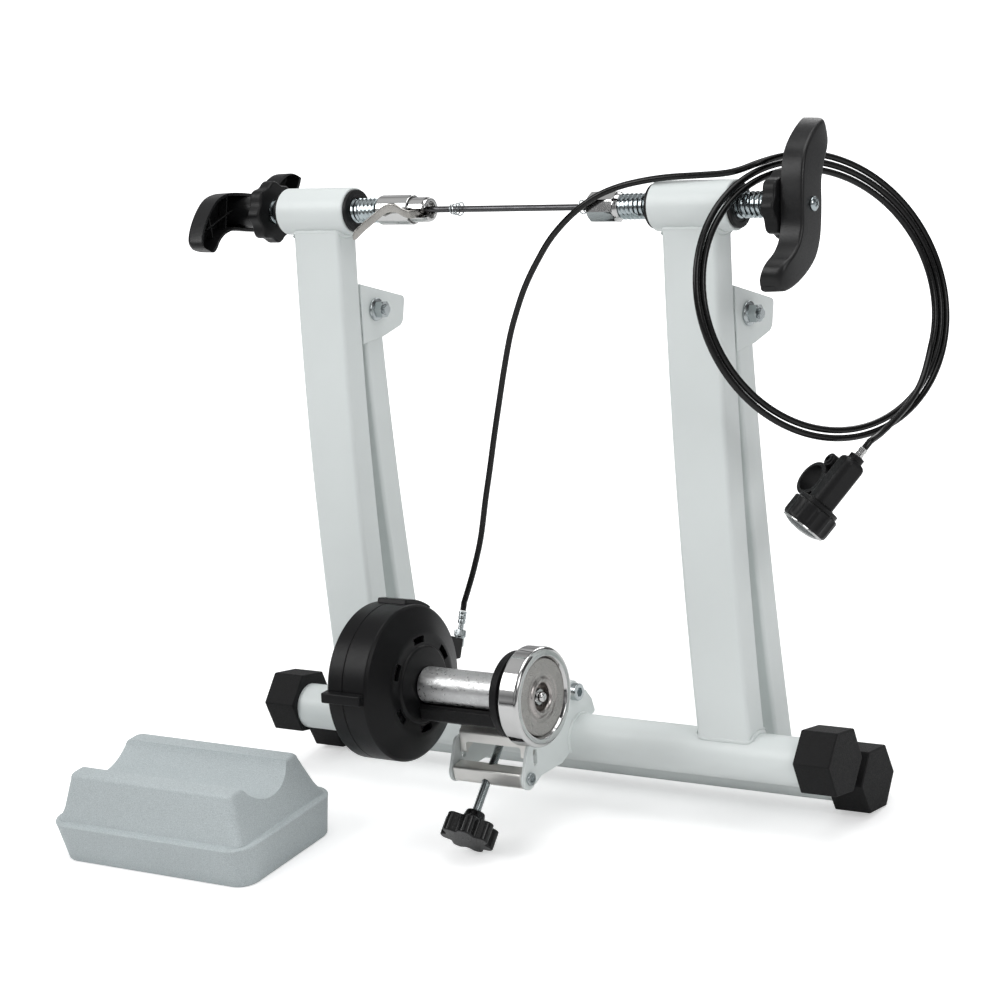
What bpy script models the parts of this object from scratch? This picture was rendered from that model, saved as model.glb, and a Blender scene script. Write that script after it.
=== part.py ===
# Magnetic bike trainer, folded flat, standing on its two rear feet and its
# tension knob and leaning back against them. A wheel block lies beside it.
#
# Every piece is drawn with the trainer upright: X runs along the base tubes, Y
# points from the roller to the folded rear legs and Z is up. The point 0, 0, 0
# is the middle of the front base tube. One empty then leans the trainer back
# onto the floor, and the last section sets it all down round the origin.
# Lengths are in metres and angles in degrees, unless a name says otherwise.

import math

import bmesh
import bpy
from mathutils import Euler, Matrix, Vector

GAP = 0.0003
TAU = 2 * math.pi

# Base tubes, uprights and legs
FOOT_SPAN = 0.545
TUBE_RADIUS = 0.019
TUBE_WALL = 0.0018
AXLE_HEIGHT = 0.4275
UPRIGHT_SPACING = 0.3518
UPRIGHT_WIDTH = 0.0477
UPRIGHT_DEPTH = 0.0249
UPRIGHT_BOW = 0.0077
LEG_WIDTH = 0.0400
LEG_DEPTH = 0.0250
LEG_BOW = 0.0058
BAR_WALL = 0.0016
BAR_CORNER = 0.0025

# Fold joint and rear base tube, as Y, Z
PIVOT = (0.0265, 0.3424)
REAR_TUBE = (0.0520, -0.0275)
BRACKET_PLATE = 0.0025
PIVOT_BOLT_RADIUS = 0.0040

# Rubber feet
FOOT_LENGTH = 0.0310
FOOT_END = 0.0050
FOOT_RADIUS = 0.0281
FRONT_FOOT_CENTRE = (0.0024, 0.0029)
REAR_FOOT_CENTRE = (0.0539, -0.0262)
FRONT_FOOT_TURN = -8.2
REAR_FOOT_TURN = -4.4

# Clamp sleeves and spindles
SLEEVE_INNER_END = 0.1436
SLEEVE_OUTER_END = 0.2114
SLEEVE_WALL = 0.0025
BUSH_FLANGE_RADIUS = 0.0172
BUSH_FLANGE = 0.0030
BUSH_SPIGOT = 0.0100
THREAD_RADIUS = 0.0100
CUP_RADIUS = 0.0120
CUP_RECESS_RADIUS = 0.0104
HANDLE_START = 0.2595
HANDLE_THICKNESS = 0.0145
HANDLE_WALL = 0.0025
LOCK_KNOB_RADIUS = 0.0240
LOCK_KNOB_LOBES = 8
END_SCREW_RADIUS = 0.0030

# Skewer
ROD_RADIUS = 0.0025
LEVER_PIVOT_X = -0.0780
LEVER_OUTWARD = Vector((0, -0.985, -0.174)).normalized()
LEVER_WIDTH = 0.0070
SPRING_WIRE = 0.0010
SPRING_CURLS = 3.5

# Resistance unit
ROLLER_AXIS = (-0.1085, 0.0680)
ROLLER_RADIUS = 0.0145
SHAFT_RADIUS = 0.0060
DRUM_RADIUS = 0.0650
FLYWHEEL_RADIUS = 0.0380
TILT_AXIS = (-0.0070, 0.0400)
BARREL_AXIS = (-0.0772, -0.0116)
BARREL_RADIUS = 0.0070
UNIT_PLATE_OUTER = 0.0360
UNIT_PLATE = 0.0030
CARRIER_HALF_WIDTH = 0.0325
CARRIER_PLATE = 0.0025
SCREW_X = -0.0025
SCREW_RADIUS = 0.0035
SCREW_SLOPE = 42.65
SCREW_REACH = 0.0395
STAR_RADIUS = 0.0222
STAR_DROP = 0.0583
STAR_HEIGHT = 0.0160
STAR_LOBES = 7

# Cable and shifter
CABLE_RADIUS = 0.0025
CABLE_START = Vector((-0.0650, -0.0080, 0.0994))
CABLE_HEADING = Vector((0, 0.36, 0.93)).normalized()
CABLE_STRAIGHT = 0.0070
COIL_CENTRE = Vector((0.2562, 0.0421, 0.3522))
COIL_HALF_WIDTH = 0.1173
COIL_HALF_HEIGHT = 0.0999
COIL_HEADING = 70.4
COIL_TILT = 11.6
COIL_ROLL = -15.7
COIL_STEP = 0.0060
COIL_CROSSING = 131
COIL_FIRST = 90
COIL_LAST = -735
SHIFTER_TOP = Vector((0.2918, 0.0240, 0.2420))
SHIFTER_FACE = Vector((0.2543, -0.0150, 0.1863))
SHIFTER_RADIUS = 0.0105
DIAL_RADIUS = 0.0190
DIAL_LENGTH = 0.0215
CLAMP_BORE = 0.0112

# Wheel block, measured on the floor from the rear feet
BLOCK_LENGTH = 0.1990
BLOCK_WIDTH = 0.1160
BLOCK_BASE = 0.0350
BLOCK_HEIGHT = 0.0730
BLOCK_FLARE = 0.0060
BLOCK_STEP = 0.0076
BLOCK_DRAFT = 15.8
BLOCK_CORNER = (-0.3474, -0.2809)
BLOCK_TROUGH_DEPTH = 0.0180
BLOCK_TROUGH_RADIUS = 0.0324
BLOCK_WALL = 0.0040

# Turned pieces lie along X, flat outlines are drawn in Y and Z
ALONG_X = (0, math.pi / 2, 0)
SIDE_VIEW = (math.pi / 2, 0, math.pi / 2)

FINISHES = {
    "painted steel": ((0.74, 0.78, 0.78), 0.45, 0.0),
    "black plastic": ((0.020, 0.020, 0.021), 0.42, 0.0),
    "black rubber": ((0.018, 0.018, 0.018), 0.75, 0.0),
    "chromed steel": ((0.78, 0.79, 0.80), 0.10, 1.0),
    "zinc plated steel": ((0.66, 0.68, 0.68), 0.30, 1.0),
    "grained aluminium": ((0.62, 0.63, 0.63), 0.42, 1.0),
    "magnet coating": ((0.16, 0.16, 0.17), 0.50, 0.6),
    "grey plastic": ((0.50, 0.55, 0.56), 0.60, 0.0),
    "cable jacket": ((0.012, 0.012, 0.012), 0.22, 0.0),
}

for old in list(bpy.data.objects):
    bpy.data.objects.remove(old, do_unlink=True)


def collection(name):
    made = bpy.data.collections.new(name)
    bpy.context.scene.collection.children.link(made)
    return made


PARTS = collection("magnetic_bike_trainer")
CUTTERS = collection("cutters")


# Bodies that move are empties on their joint axes
BODY_AT = {}


def body(name, at, parent=None):
    """An empty on a joint axis; at is in the upright trainer's own coordinates."""
    empty = bpy.data.objects.new(name, None)
    empty.empty_display_size = 0.03
    PARTS.objects.link(empty)
    BODY_AT[name] = Vector(at)
    empty.location = Vector(at)
    if parent:
        empty.parent = parent
        empty.location -= BODY_AT[parent.name]
    return empty


def part(shape, name, finish, owner):
    """Name a finished shape, give it its material and hand it to its body."""
    shape.name = name
    shape.data.name = name
    colour, roughness, metallic = FINISHES[finish]
    look = bpy.data.materials.new(name)
    look.use_nodes = True
    shader = look.node_tree.nodes["Principled BSDF"]
    shader.inputs["Base Color"].default_value = (*colour, 1)
    shader.inputs["Roughness"].default_value = roughness
    shader.inputs["Metallic"].default_value = metallic
    shape.data.materials.clear()
    shape.data.materials.append(look)
    PARTS.objects.link(shape)
    shape.parent = owner
    shape.location = Vector(shape.location) - BODY_AT[owner.name]
    for modifier in shape.modifiers:
        if modifier.type == "BOOLEAN":
            cutter = modifier.object
            cutter.parent = owner
            cutter.location = Vector(cutter.location) - BODY_AT[owner.name]
    return shape


def boolean(shape, tool, operation):
    """Cut or join a tool, which stays as a wire guide in the cutters."""
    change = shape.modifiers.new(operation.title(), "BOOLEAN")
    change.operation = operation
    change.solver = "EXACT"
    change.object = tool
    CUTTERS.objects.link(tool)
    tool.hide_render = True
    tool.display_type = "WIRE"


def cut(shape, *tools):
    for tool in tools:
        boolean(shape, tool, "DIFFERENCE")


def join(shape, *tools):
    for tool in tools:
        boolean(shape, tool, "UNION")


def soften(shape, width, segments=1, angle=35):
    bevel = shape.modifiers.new("Soft edges", "BEVEL")
    bevel.width = width
    bevel.segments = segments
    bevel.limit_method = "ANGLE"
    bevel.angle_limit = math.radians(angle)


# Shapes

def turned(profile, steps, ring=False, at=(0, 0, 0), turn=ALONG_X):
    """Turn a radius and height profile, given from its top end downward."""
    shape = bmesh.new()
    points = [shape.verts.new((radius, 0, height)) for radius, height in profile]
    for first, second in zip(points, points[1:]):
        shape.edges.new((first, second))
    if ring:
        shape.edges.new((points[-1], points[0]))
    mesh = bpy.data.meshes.new("turned")
    shape.to_mesh(mesh)
    shape.free()
    made = bpy.data.objects.new("turned", mesh)
    screw = made.modifiers.new("Turn", "SCREW")
    screw.steps = steps
    screw.render_steps = steps
    screw.use_merge_vertices = True
    screw.merge_threshold = 0.00001
    made.location = at
    made.rotation_euler = turn
    return made


def rod(radius, low, high, centre, steps=24):
    """A round bar along X from low to high, with its axis at centre (Y, Z)."""
    profile = [(0, high), (radius, high), (radius, low), (0, low)]
    return turned(profile, steps, at=(0, *centre))


def pipe(radius, bore, low, high, centre, steps=32):
    """A round tube along X."""
    profile = [(radius, high), (radius, low), (bore, low), (bore, high)]
    return turned(profile, steps, ring=True, at=(0, *centre))


def plate(outline, thickness, at=(0, 0, 0), turn=SIDE_VIEW, holes=()):
    """A flat outline, thickened evenly to both sides of its own plane."""
    curve = bpy.data.curves.new("plate", "CURVE")
    curve.dimensions = "2D"
    curve.fill_mode = "BOTH"
    curve.extrude = thickness / 2
    for loop in (outline, *holes):
        spline = curve.splines.new("POLY")
        spline.points.add(len(loop) - 1)
        for point, (u, v) in zip(spline.points, loop):
            point.co = (u, v, 0, 1)
        spline.use_cyclic_u = True
    drawn = bpy.data.objects.new("plate", curve)
    bpy.context.scene.collection.objects.link(drawn)
    bpy.context.view_layer.update()
    seen = drawn.evaluated_get(bpy.context.evaluated_depsgraph_get())
    mesh = bpy.data.meshes.new_from_object(seen)
    bpy.data.objects.remove(drawn)
    shape = bmesh.new()
    shape.from_mesh(mesh)
    bmesh.ops.remove_doubles(shape, verts=shape.verts, dist=0.00001)
    bmesh.ops.recalc_face_normals(shape, faces=shape.faces)
    shape.to_mesh(mesh)
    shape.free()
    made = bpy.data.objects.new("plate", mesh)
    made.location = at
    made.rotation_euler = turn
    return made


def block(size, at, turn=(0, 0, 0)):
    """A box of the given size, centred on at."""
    shape = bmesh.new()
    bmesh.ops.create_cube(shape, size=1)
    bmesh.ops.scale(shape, vec=size, verts=shape.verts)
    mesh = bpy.data.meshes.new("block")
    shape.to_mesh(mesh)
    shape.free()
    made = bpy.data.objects.new("block", mesh)
    made.location = at
    made.rotation_euler = turn
    return made


def frustum(length, width, height, draft, at):
    """A box on its base, whose four sides lean in by the draft."""
    shape = bmesh.new()
    bmesh.ops.create_cube(shape, size=1)
    inset = height * math.tan(math.radians(draft))
    for vertex in shape.verts:
        top = vertex.co.z > 0
        vertex.co.x *= length - 2 * inset * top
        vertex.co.y *= width - 2 * inset * top
        vertex.co.z = height * top
    mesh = bpy.data.meshes.new("frustum")
    shape.to_mesh(mesh)
    shape.free()
    made = bpy.data.objects.new("frustum", mesh)
    made.location = at
    return made


def tube(points, radius, sides, at=(0, 0, 0)):
    """A round wire or cord through points."""
    curve = bpy.data.curves.new("tube", "CURVE")
    curve.dimensions = "3D"
    curve.bevel_depth = radius
    curve.bevel_resolution = sides
    curve.use_fill_caps = True
    spline = curve.splines.new("POLY")
    spline.points.add(len(points) - 1)
    for point, place in zip(spline.points, points):
        point.co = (*place, 1)
    made = bpy.data.objects.new("tube", curve)
    made.location = at
    return made


# Outlines

def arc(centre, radius, start, end, steps):
    """Points on an arc, with angles in degrees from the first axis."""
    angles = [math.radians(start + (end - start) * i / steps) for i in range(steps + 1)]
    return [(centre[0] + radius * math.cos(a), centre[1] + radius * math.sin(a)) for a in angles]


def circle(centre, radius, steps):
    return arc(centre, radius, 0, 360 * (steps - 1) / steps, steps - 1)


def rounded(corners, steps=3):
    """An outline through (u, v, radius) corners, each rounded by an arc; plain (u, v) points stay sharp."""
    outline = []
    count = len(corners)
    for index, place in enumerate(corners):
        u, v, radius = (*place, 0)[:3]
        corner = Vector((u, v))
        if not radius:
            outline.append((u, v))
            continue
        back = (Vector(corners[index - 1][:2]) - corner).normalized()
        ahead = (Vector(corners[(index + 1) % count][:2]) - corner).normalized()
        half = back.angle(ahead) / 2
        centre = corner + (back + ahead).normalized() * radius / math.sin(half)
        reach = radius / math.tan(half)
        first = corner + back * reach - centre
        last = corner + ahead * reach - centre
        start = math.atan2(first.y, first.x)
        sweep = (math.atan2(last.y, last.x) - start + math.pi) % TAU - math.pi
        outline += arc(centre, radius, math.degrees(start), math.degrees(start + sweep), steps)
    return outline


def slot(start, end, radius, steps=5):
    """An outline of a slot with round ends."""
    heading = math.degrees(math.atan2(end[1] - start[1], end[0] - start[0]))
    return (arc(end, radius, heading - 90, heading + 90, steps)
            + arc(start, radius, heading + 90, heading + 270, steps))


def smooth(points, steps, closed=False):
    """A Catmull-Rom curve through points, with equal steps on each span."""
    points = [Vector(p) for p in points]
    count = len(points)
    spans = count if closed else count - 1
    curve = []
    for i in range(spans):
        if closed:
            a, b, c, d = (points[(i + k) % count] for k in (-1, 0, 1, 2))
        else:
            b, c = points[i], points[i + 1]
            a = points[i - 1] if i else 2 * b - c
            d = points[i + 2] if i + 2 < count else 2 * c - b
        for step in range(steps):
            t = step / steps
            curve.append(b + (c - a) * t / 2 + (a - 2.5 * b + 2 * c - d / 2) * t * t
                         + (1.5 * (b - c) + (d - a) / 2) * t * t * t)
    if not closed:
        curve.append(points[-1])
    return curve


def inset(outline, distance):
    """The same outline drawn in by a distance."""
    count = len(outline)
    area = sum(outline[i - 1][0] * outline[i][1] - outline[i][0] * outline[i - 1][1] for i in range(count))
    side = 1 if area > 0 else -1
    inner = []
    for i in range(count):
        along = Vector(outline[(i + 1) % count]) - Vector(outline[i - 1])
        along.normalize()
        inner.append((outline[i][0] - side * distance * along.y, outline[i][1] + side * distance * along.x))
    return inner


def bowed(start, end, bow, depth, steps, before=0.0, after=0.0, tip=False):
    """A bar's side outline along an arc from start to end that bows toward -Y."""
    start, end = Vector(start), Vector(end)
    chord = end - start
    along = chord.normalized()
    out = Vector((-along.y, along.x))
    if out.x > 0:
        out = -out
    radius = (chord.length ** 2 / 4 + bow ** 2) / (2 * bow)
    centre = (start + end) / 2 + out * (bow - radius)
    half = math.asin(chord.length / 2 / radius)
    first, last = -half - before / radius, half + after / radius

    def edge(offset):
        angles = [first + (last - first) * i / steps for i in range(steps + 1)]
        return [centre + (radius + offset) * (out * math.cos(a) + along * math.sin(a)) for a in angles]

    outer, inner = edge(depth / 2), edge(-depth / 2)
    cap = []
    if tip:
        reach = outer[-1] - end
        turn = math.degrees(math.atan2(reach.y, reach.x))
        cap = [Vector(p) for p in arc(end, depth / 2, turn, turn - 180, 6)[1:-1]]
    return [tuple(p) for p in outer + cap + inner[::-1]]


def hexagon(centre, radius, turn):
    return [(centre[0] + radius * math.cos(math.radians(60 * i + turn)),
             centre[1] + radius * math.sin(math.radians(60 * i + turn))) for i in range(6)]


def lobed(radius, depth, lobes, steps, phase=0.0):
    """A knob's outline: a circle that swells out at each lobe."""
    angles = [TAU * i / steps for i in range(steps)]
    reach = [radius - depth * (1 - math.cos(lobes * (a - math.radians(phase)))) / 2 for a in angles]
    return [(r * math.cos(a), r * math.sin(a)) for r, a in zip(reach, angles)]


# Bolts and nuts

def socket_bolt(head_x, side, centre, shank, radius, shank_end):
    """A socket head bolt with a washer; side is +1 where the head faces +X."""
    seat = head_x * side
    profile = [(0, seat + 0.0040), (0.0030, seat + 0.0040), (0.0030, seat + 0.0080), (0.0058, seat + 0.0080),
               (0.0065, seat + 0.0072), (0.0065, seat + 0.0016), (0.0090, seat + 0.0016), (0.0090, seat),
               (shank, seat), (shank, shank_end * side), (0, shank_end * side)]
    turn = ALONG_X if side > 0 else (0, -math.pi / 2, 0)
    return turned(profile, 12, at=(0, *centre), turn=turn)


def hex_nut(low, high, centre, bore, across=0.0075):
    """A flange nut along X whose flange is at its low end."""
    flange = 0.0022
    nut = plate(hexagon(centre, across, 10), high - low - flange / 2, at=((high + low + flange / 2) / 2, 0, 0))
    join(nut, rod(0.0095, low, low + flange, centre, 16))
    cut(nut, rod(bore, low - 0.01, high + 0.01, centre, 12))
    return nut


# Front frame

def build_front_tube(owner):
    reach = FOOT_SPAN / 2 - FOOT_END - GAP
    part(pipe(TUBE_RADIUS, TUBE_RADIUS - TUBE_WALL, -reach, reach, (0, 0), 32),
         "front_base_tube", "painted steel", owner)


def upright_outline(depth, before, after):
    return bowed((0, 0), (0, AXLE_HEIGHT), UPRIGHT_BOW, depth, 8, before, after)


def build_upright(side, name, owner):
    x = side * UPRIGHT_SPACING / 2
    bar = plate(upright_outline(UPRIGHT_DEPTH, 0.0, 0.0), UPRIGHT_WIDTH, at=(x, 0, 0))
    soften(bar, BAR_CORNER, 1, 60)
    bore = plate(upright_outline(UPRIGHT_DEPTH - 2 * BAR_WALL, 0.01, 0.01), UPRIGHT_WIDTH - 2 * BAR_WALL,
                 at=(x, 0, 0))
    ends = [rod(TUBE_RADIUS + GAP, x - 0.05, x + 0.05, (0, z), 32) for z in (0, AXLE_HEIGHT)]
    cut(bar, bore, *ends)
    part(bar, name, "painted steel", owner)


def build_sleeve(side, name, owner):
    low, high = sorted((side * SLEEVE_INNER_END, side * SLEEVE_OUTER_END))
    part(pipe(TUBE_RADIUS, TUBE_RADIUS - SLEEVE_WALL, low, high, (0, AXLE_HEIGHT), 32),
         name, "painted steel", owner)


def build_bush(side, end, name, owner):
    """A flanged plastic bush in a sleeve's end; end is +1 for the outer one."""
    seat = (SLEEVE_OUTER_END if end > 0 else SLEEVE_INNER_END) + end * GAP
    bore = THREAD_RADIUS + GAP
    spigot = TUBE_RADIUS - SLEEVE_WALL - GAP
    profile = [(BUSH_FLANGE_RADIUS, BUSH_FLANGE), (BUSH_FLANGE_RADIUS, 0), (spigot, 0), (spigot, -BUSH_SPIGOT),
               (bore, -BUSH_SPIGOT), (bore, BUSH_FLANGE)]
    turn = ALONG_X if side * end > 0 else (0, -math.pi / 2, 0)
    part(turned(profile, 16, ring=True, at=(side * seat, 0, AXLE_HEIGHT), turn=turn), name, "black plastic", owner)


def build_bracket(side, name, owner):
    """The folded plate that carries a rear leg on the upright's back."""
    x = side * UPRIGHT_SPACING / 2
    outline = rounded([(-0.006, 0.3705, 0), (0.0075, 0.3670, 0), (PIVOT[0] + 0.0417, PIVOT[1] + 0.0048, 0.004),
                       (PIVOT[0] + 0.0360, PIVOT[1] - 0.0180, 0.008), (PIVOT[0] + 0.0080, PIVOT[1] - 0.0240, 0),
                       (-0.006, 0.3160, 0)])
    shell = plate(outline, UPRIGHT_WIDTH, at=(x, 0, 0))
    back = upright_outline(UPRIGHT_DEPTH + 2 * GAP, 0.0, 0.0)
    channel = upright_outline(UPRIGHT_DEPTH + 2 * GAP + 2 * BRACKET_PLATE, 0.0, 0.0)
    opening = [p for p in channel[len(channel) // 2:]] + [(0.12, AXLE_HEIGHT), (0.12, 0.0)][::-1]
    cut(shell, plate(back, 0.08, at=(x, 0, 0)),
        plate(opening, UPRIGHT_WIDTH - 2 * BRACKET_PLATE, at=(x, 0, 0)),
        rod(PIVOT_BOLT_RADIUS + GAP, x - 0.05, x + 0.05, PIVOT, 16))
    part(shell, name, "painted steel", owner)


def build_pivot(side, owner):
    """The bolt and nut that a rear leg folds on."""
    x = side * UPRIGHT_SPACING / 2
    face = UPRIGHT_WIDTH / 2 + GAP
    label = "right" if side > 0 else "left"
    head, end = x - face, x + face + 0.0120
    bolt = turned([(0, end), (PIVOT_BOLT_RADIUS - 0.0006, end), (PIVOT_BOLT_RADIUS, end - 0.0006),
                   (PIVOT_BOLT_RADIUS, head), (0.0085, head), (0.0085, head - 0.0016), (0, head - 0.0016)],
                  16, at=(0, *PIVOT))
    join(bolt, plate(hexagon(PIVOT, 0.0072, 20), 0.0060, at=(head - 0.0042, 0, 0)))
    part(bolt, "pivot_bolt_" + label, "zinc plated steel", owner)
    part(hex_nut(x + face, x + face + 0.0095, PIVOT, PIVOT_BOLT_RADIUS + GAP), "pivot_nut_" + label,
         "zinc plated steel", owner)


def build_foot(side, centre, tube_centre, turn, name, owner):
    """A six-sided rubber cap, bored off its centre, so that turning it levels the stand."""
    outer = FOOT_SPAN / 2
    cap = plate(hexagon(centre, FOOT_RADIUS, turn), FOOT_LENGTH, at=(side * (outer - FOOT_LENGTH / 2), 0, 0))
    soften(cap, 0.0012)
    low, high = sorted((side * (outer - FOOT_END), side * (outer - FOOT_LENGTH - 0.01)))
    cut(cap, rod(TUBE_RADIUS + GAP, low, high, tube_centre, 32))
    part(cap, name, "black rubber", owner)


# Rear frame

def build_rear_tube(owner):
    reach = FOOT_SPAN / 2 - FOOT_END - GAP
    part(pipe(TUBE_RADIUS, TUBE_RADIUS - TUBE_WALL, -reach, reach, REAR_TUBE, 32),
         "rear_base_tube", "painted steel", owner)


def build_leg(side, name, owner):
    x = side * UPRIGHT_SPACING / 2
    bar = plate(bowed(REAR_TUBE, PIVOT, LEG_BOW, LEG_DEPTH, 6, tip=True), LEG_WIDTH, at=(x, 0, 0))
    soften(bar, 0.0020, 1, 60)
    bore = plate(bowed(REAR_TUBE, PIVOT, LEG_BOW, LEG_DEPTH - 2 * BAR_WALL, 6, 0.01, -0.0140),
                 LEG_WIDTH - 2 * BAR_WALL, at=(x, 0, 0))
    cut(bar, bore, rod(TUBE_RADIUS + GAP, x - 0.05, x + 0.05, REAR_TUBE, 32),
        rod(PIVOT_BOLT_RADIUS + GAP, x - 0.05, x + 0.05, PIVOT, 16))
    part(bar, name, "painted steel", owner)


# Clamp spindles

def build_cup(side, inner, outer, recess, name, owner):
    """A chromed cup that holds one end of the skewer; inner and outer are distances from the middle."""
    length = outer - inner
    profile = [(0, length), (CUP_RADIUS - 0.002, length), (CUP_RADIUS, length - 0.002), (CUP_RADIUS, 0.001),
               (CUP_RADIUS - 0.001, 0), (CUP_RECESS_RADIUS, 0), (CUP_RECESS_RADIUS, recess), (0, recess)]
    turn = ALONG_X if side > 0 else (0, -math.pi / 2, 0)
    part(turned(profile, 16, at=(side * inner, 0, AXLE_HEIGHT), turn=turn), name, "chromed steel", owner)


def build_spindle(side, start, name, owner):
    """The threaded bar through a sleeve, with the screw that holds its handle."""
    seat = HANDLE_START - GAP
    outer = HANDLE_START + HANDLE_THICKNESS + GAP
    profile = [(0, outer + 0.0012), (0.0022, outer + 0.0012), (0.0028, outer + 0.0032), (0.0048, outer + 0.0026),
               (0.0055, outer + 0.0012), (0.0055, outer), (END_SCREW_RADIUS, outer), (END_SCREW_RADIUS, seat),
               (THREAD_RADIUS, seat), (THREAD_RADIUS, start), (0, start)]
    turn = ALONG_X if side > 0 else (0, -math.pi / 2, 0)
    part(turned(profile, 16, at=(0, 0, AXLE_HEIGHT), turn=turn), name, "zinc plated steel", owner)


def handle_outline():
    """Half of the S-shaped blade, then the same half turned about the spindle."""
    half = [(0.0160, 0.0), (0.0140, -0.0140), (0.0110, -0.0270), (0.0045, -0.0390), (-0.0070, -0.0480),
            (-0.0220, -0.0550), (-0.0360, -0.0585), (-0.0460, -0.0570), (-0.0480, -0.0470), (-0.0420, -0.0380),
            (-0.0310, -0.0325), (-0.0230, -0.0250), (-0.0175, -0.0140)]
    return half + [(-y, -z) for y, z in half]


def build_handle(side, turn, name, owner):
    """The grip: a hollow blade with a hub round the end screw."""
    angle = math.radians(turn)
    outline = [(side * y * math.cos(angle) - z * math.sin(angle), side * y * math.sin(angle) + z * math.cos(angle))
               for y, z in handle_outline()]
    middle = side * (HANDLE_START + HANDLE_THICKNESS / 2)
    place = (middle, 0, AXLE_HEIGHT)
    grip = plate(outline, HANDLE_THICKNESS, at=place)
    soften(grip, 0.0018, 1, 50)
    pocket_depth = HANDLE_THICKNESS - HANDLE_WALL
    pocket = plate(inset(outline, HANDLE_WALL), pocket_depth, at=(middle - side * HANDLE_WALL, 0, AXLE_HEIGHT),
                   holes=[circle((0, 0), THREAD_RADIUS + 0.001, 16)])
    cut(grip, pocket, rod(END_SCREW_RADIUS + GAP, middle - 0.02, middle + 0.02, (0, AXLE_HEIGHT), 12))
    part(grip, name, "black plastic", owner)


def build_lock_knob(side, inner, outer, name, owner):
    low, high = sorted((side * inner, side * outer))
    knob = plate(lobed(LOCK_KNOB_RADIUS, 0.0022, LOCK_KNOB_LOBES, 40), high - low,
                 at=((low + high) / 2, 0, AXLE_HEIGHT), holes=[circle((0, 0), THREAD_RADIUS + GAP, 16)])
    part(knob, name, "black plastic", owner)


# Skewer

def build_skewer(clamp, lever):
    """The rod with its cam housing, the nut, two springs and the quick-release lever."""
    nut_start = 0.0866
    profile = [(0, nut_start + 0.0070), (ROD_RADIUS, nut_start + 0.0070), (ROD_RADIUS, -0.0670), (0.0085, -0.0670),
               (0.0100, -0.0690), (0.0100, -0.0897), (0, -0.0897)]
    rod_piece = turned(profile, 24, at=(0, 0, AXLE_HEIGHT))
    wide = LEVER_WIDTH + 2 * GAP
    for low, high, deep in ((-0.0080, 0.0080, -0.0035), (0.0040, 0.0120, 0.0032)):
        reach = (deep + 0.0250) / 2
        cut(rod_piece, block((high - low, 2 * (0.0250 - reach), wide),
                             Vector((LEVER_PIVOT_X + (low + high) / 2, 0, AXLE_HEIGHT)) + LEVER_OUTWARD * reach,
                             (LEVER_OUTWARD.angle(Vector((0, -1, 0))), 0, 0)))
    part(rod_piece, "skewer_rod", "chromed steel", clamp)
    nut = turned([(0, 0.0095), (0.0060, 0.0095), (0.0090, 0.0070), (0.0090, 0.0010), (0.0080, 0),
                  (ROD_RADIUS + GAP, 0), (ROD_RADIUS + GAP, 0.0075), (0, 0.0075)],
                 20, at=(nut_start, 0, AXLE_HEIGHT))
    part(nut, "skewer_nut", "chromed steel", clamp)
    for name, start, turn in (("skewer_spring_left", -0.0480, 1), ("skewer_spring_right", 0.0745, -1)):
        part(tube(spring_points(0.0110, turn), SPRING_WIRE / 2, 1, at=(start, 0, AXLE_HEIGHT)),
             name, "zinc plated steel", clamp)
    build_lever(lever)


def spring_points(length, turn):
    """A conical spring along X: narrow on the rod at one end, wide at the other."""
    narrow = ROD_RADIUS + SPRING_WIRE / 2 + 0.0004
    wide = 0.0055
    steps = int(SPRING_CURLS * 8)
    points = []
    for i in range(steps + 1):
        share = i / steps
        radius = narrow + (wide - narrow) * (share if turn > 0 else 1 - share)
        angle = TAU * SPRING_CURLS * share
        points.append((length * share, radius * math.cos(angle), radius * math.sin(angle)))
    return points


def build_lever(owner):
    """A curved strap with a flat tip. It leaves the housing outward and then slants down beside the cup."""
    path = smooth([(0, -0.0010, 0), (-0.0010, 0.0060, 0), (0.0005, 0.0125, 0), (0.0040, 0.0165, 0.0028),
                   (0.0105, 0.0180, 0.0072), (0.0200, 0.0185, 0.0064), (0.0310, 0.0215, 0.0000),
                   (0.0400, 0.0280, -0.0064), (0.0455, 0.0345, -0.0120)], 2)
    count = len(path)
    shape = bmesh.new()
    rings = []
    for i, point in enumerate(path):
        along = (path[min(i + 1, count - 1)] - path[max(i - 1, 0)]).normalized()
        across = Vector((-along.y, along.x, 0)).normalized()
        thick, wide = 0.0024 - 0.0010 * i / count, LEVER_WIDTH / 2
        corner = 0.0008
        rings.append([shape.verts.new(point + across * u + Vector((0, 0, v))) for u, v in (
            (thick, wide - corner), (thick - corner, wide), (corner - thick, wide), (-thick, wide - corner),
            (-thick, corner - wide), (corner - thick, -wide), (thick - corner, -wide), (thick, corner - wide))])
    for one, two in zip(rings, rings[1:]):
        for k in range(8):
            shape.faces.new((one[k], one[(k + 1) % 8], two[(k + 1) % 8], two[k]))
    shape.faces.new(rings[0][::-1])
    shape.faces.new(rings[-1])
    bmesh.ops.triangulate(shape, faces=shape.faces)
    bmesh.ops.recalc_face_normals(shape, faces=shape.faces)
    data = bpy.data.meshes.new("lever")
    shape.to_mesh(data)
    shape.free()
    blade = bpy.data.objects.new("lever", data)
    bpy.context.scene.collection.objects.link(blade)
    blade.location = (LEVER_PIVOT_X, 0, AXLE_HEIGHT)
    blade.rotation_euler = lever_turn()
    part(blade, "skewer_lever", "chromed steel", owner)


def lever_turn():
    """The blade's own axes: along -X, outward from the rod, and along the pivot."""
    away = Vector((-1, 0, 0))
    return Matrix((away, LEVER_OUTWARD, away.cross(LEVER_OUTWARD))).transposed().to_euler()


# Resistance unit bracket

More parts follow.
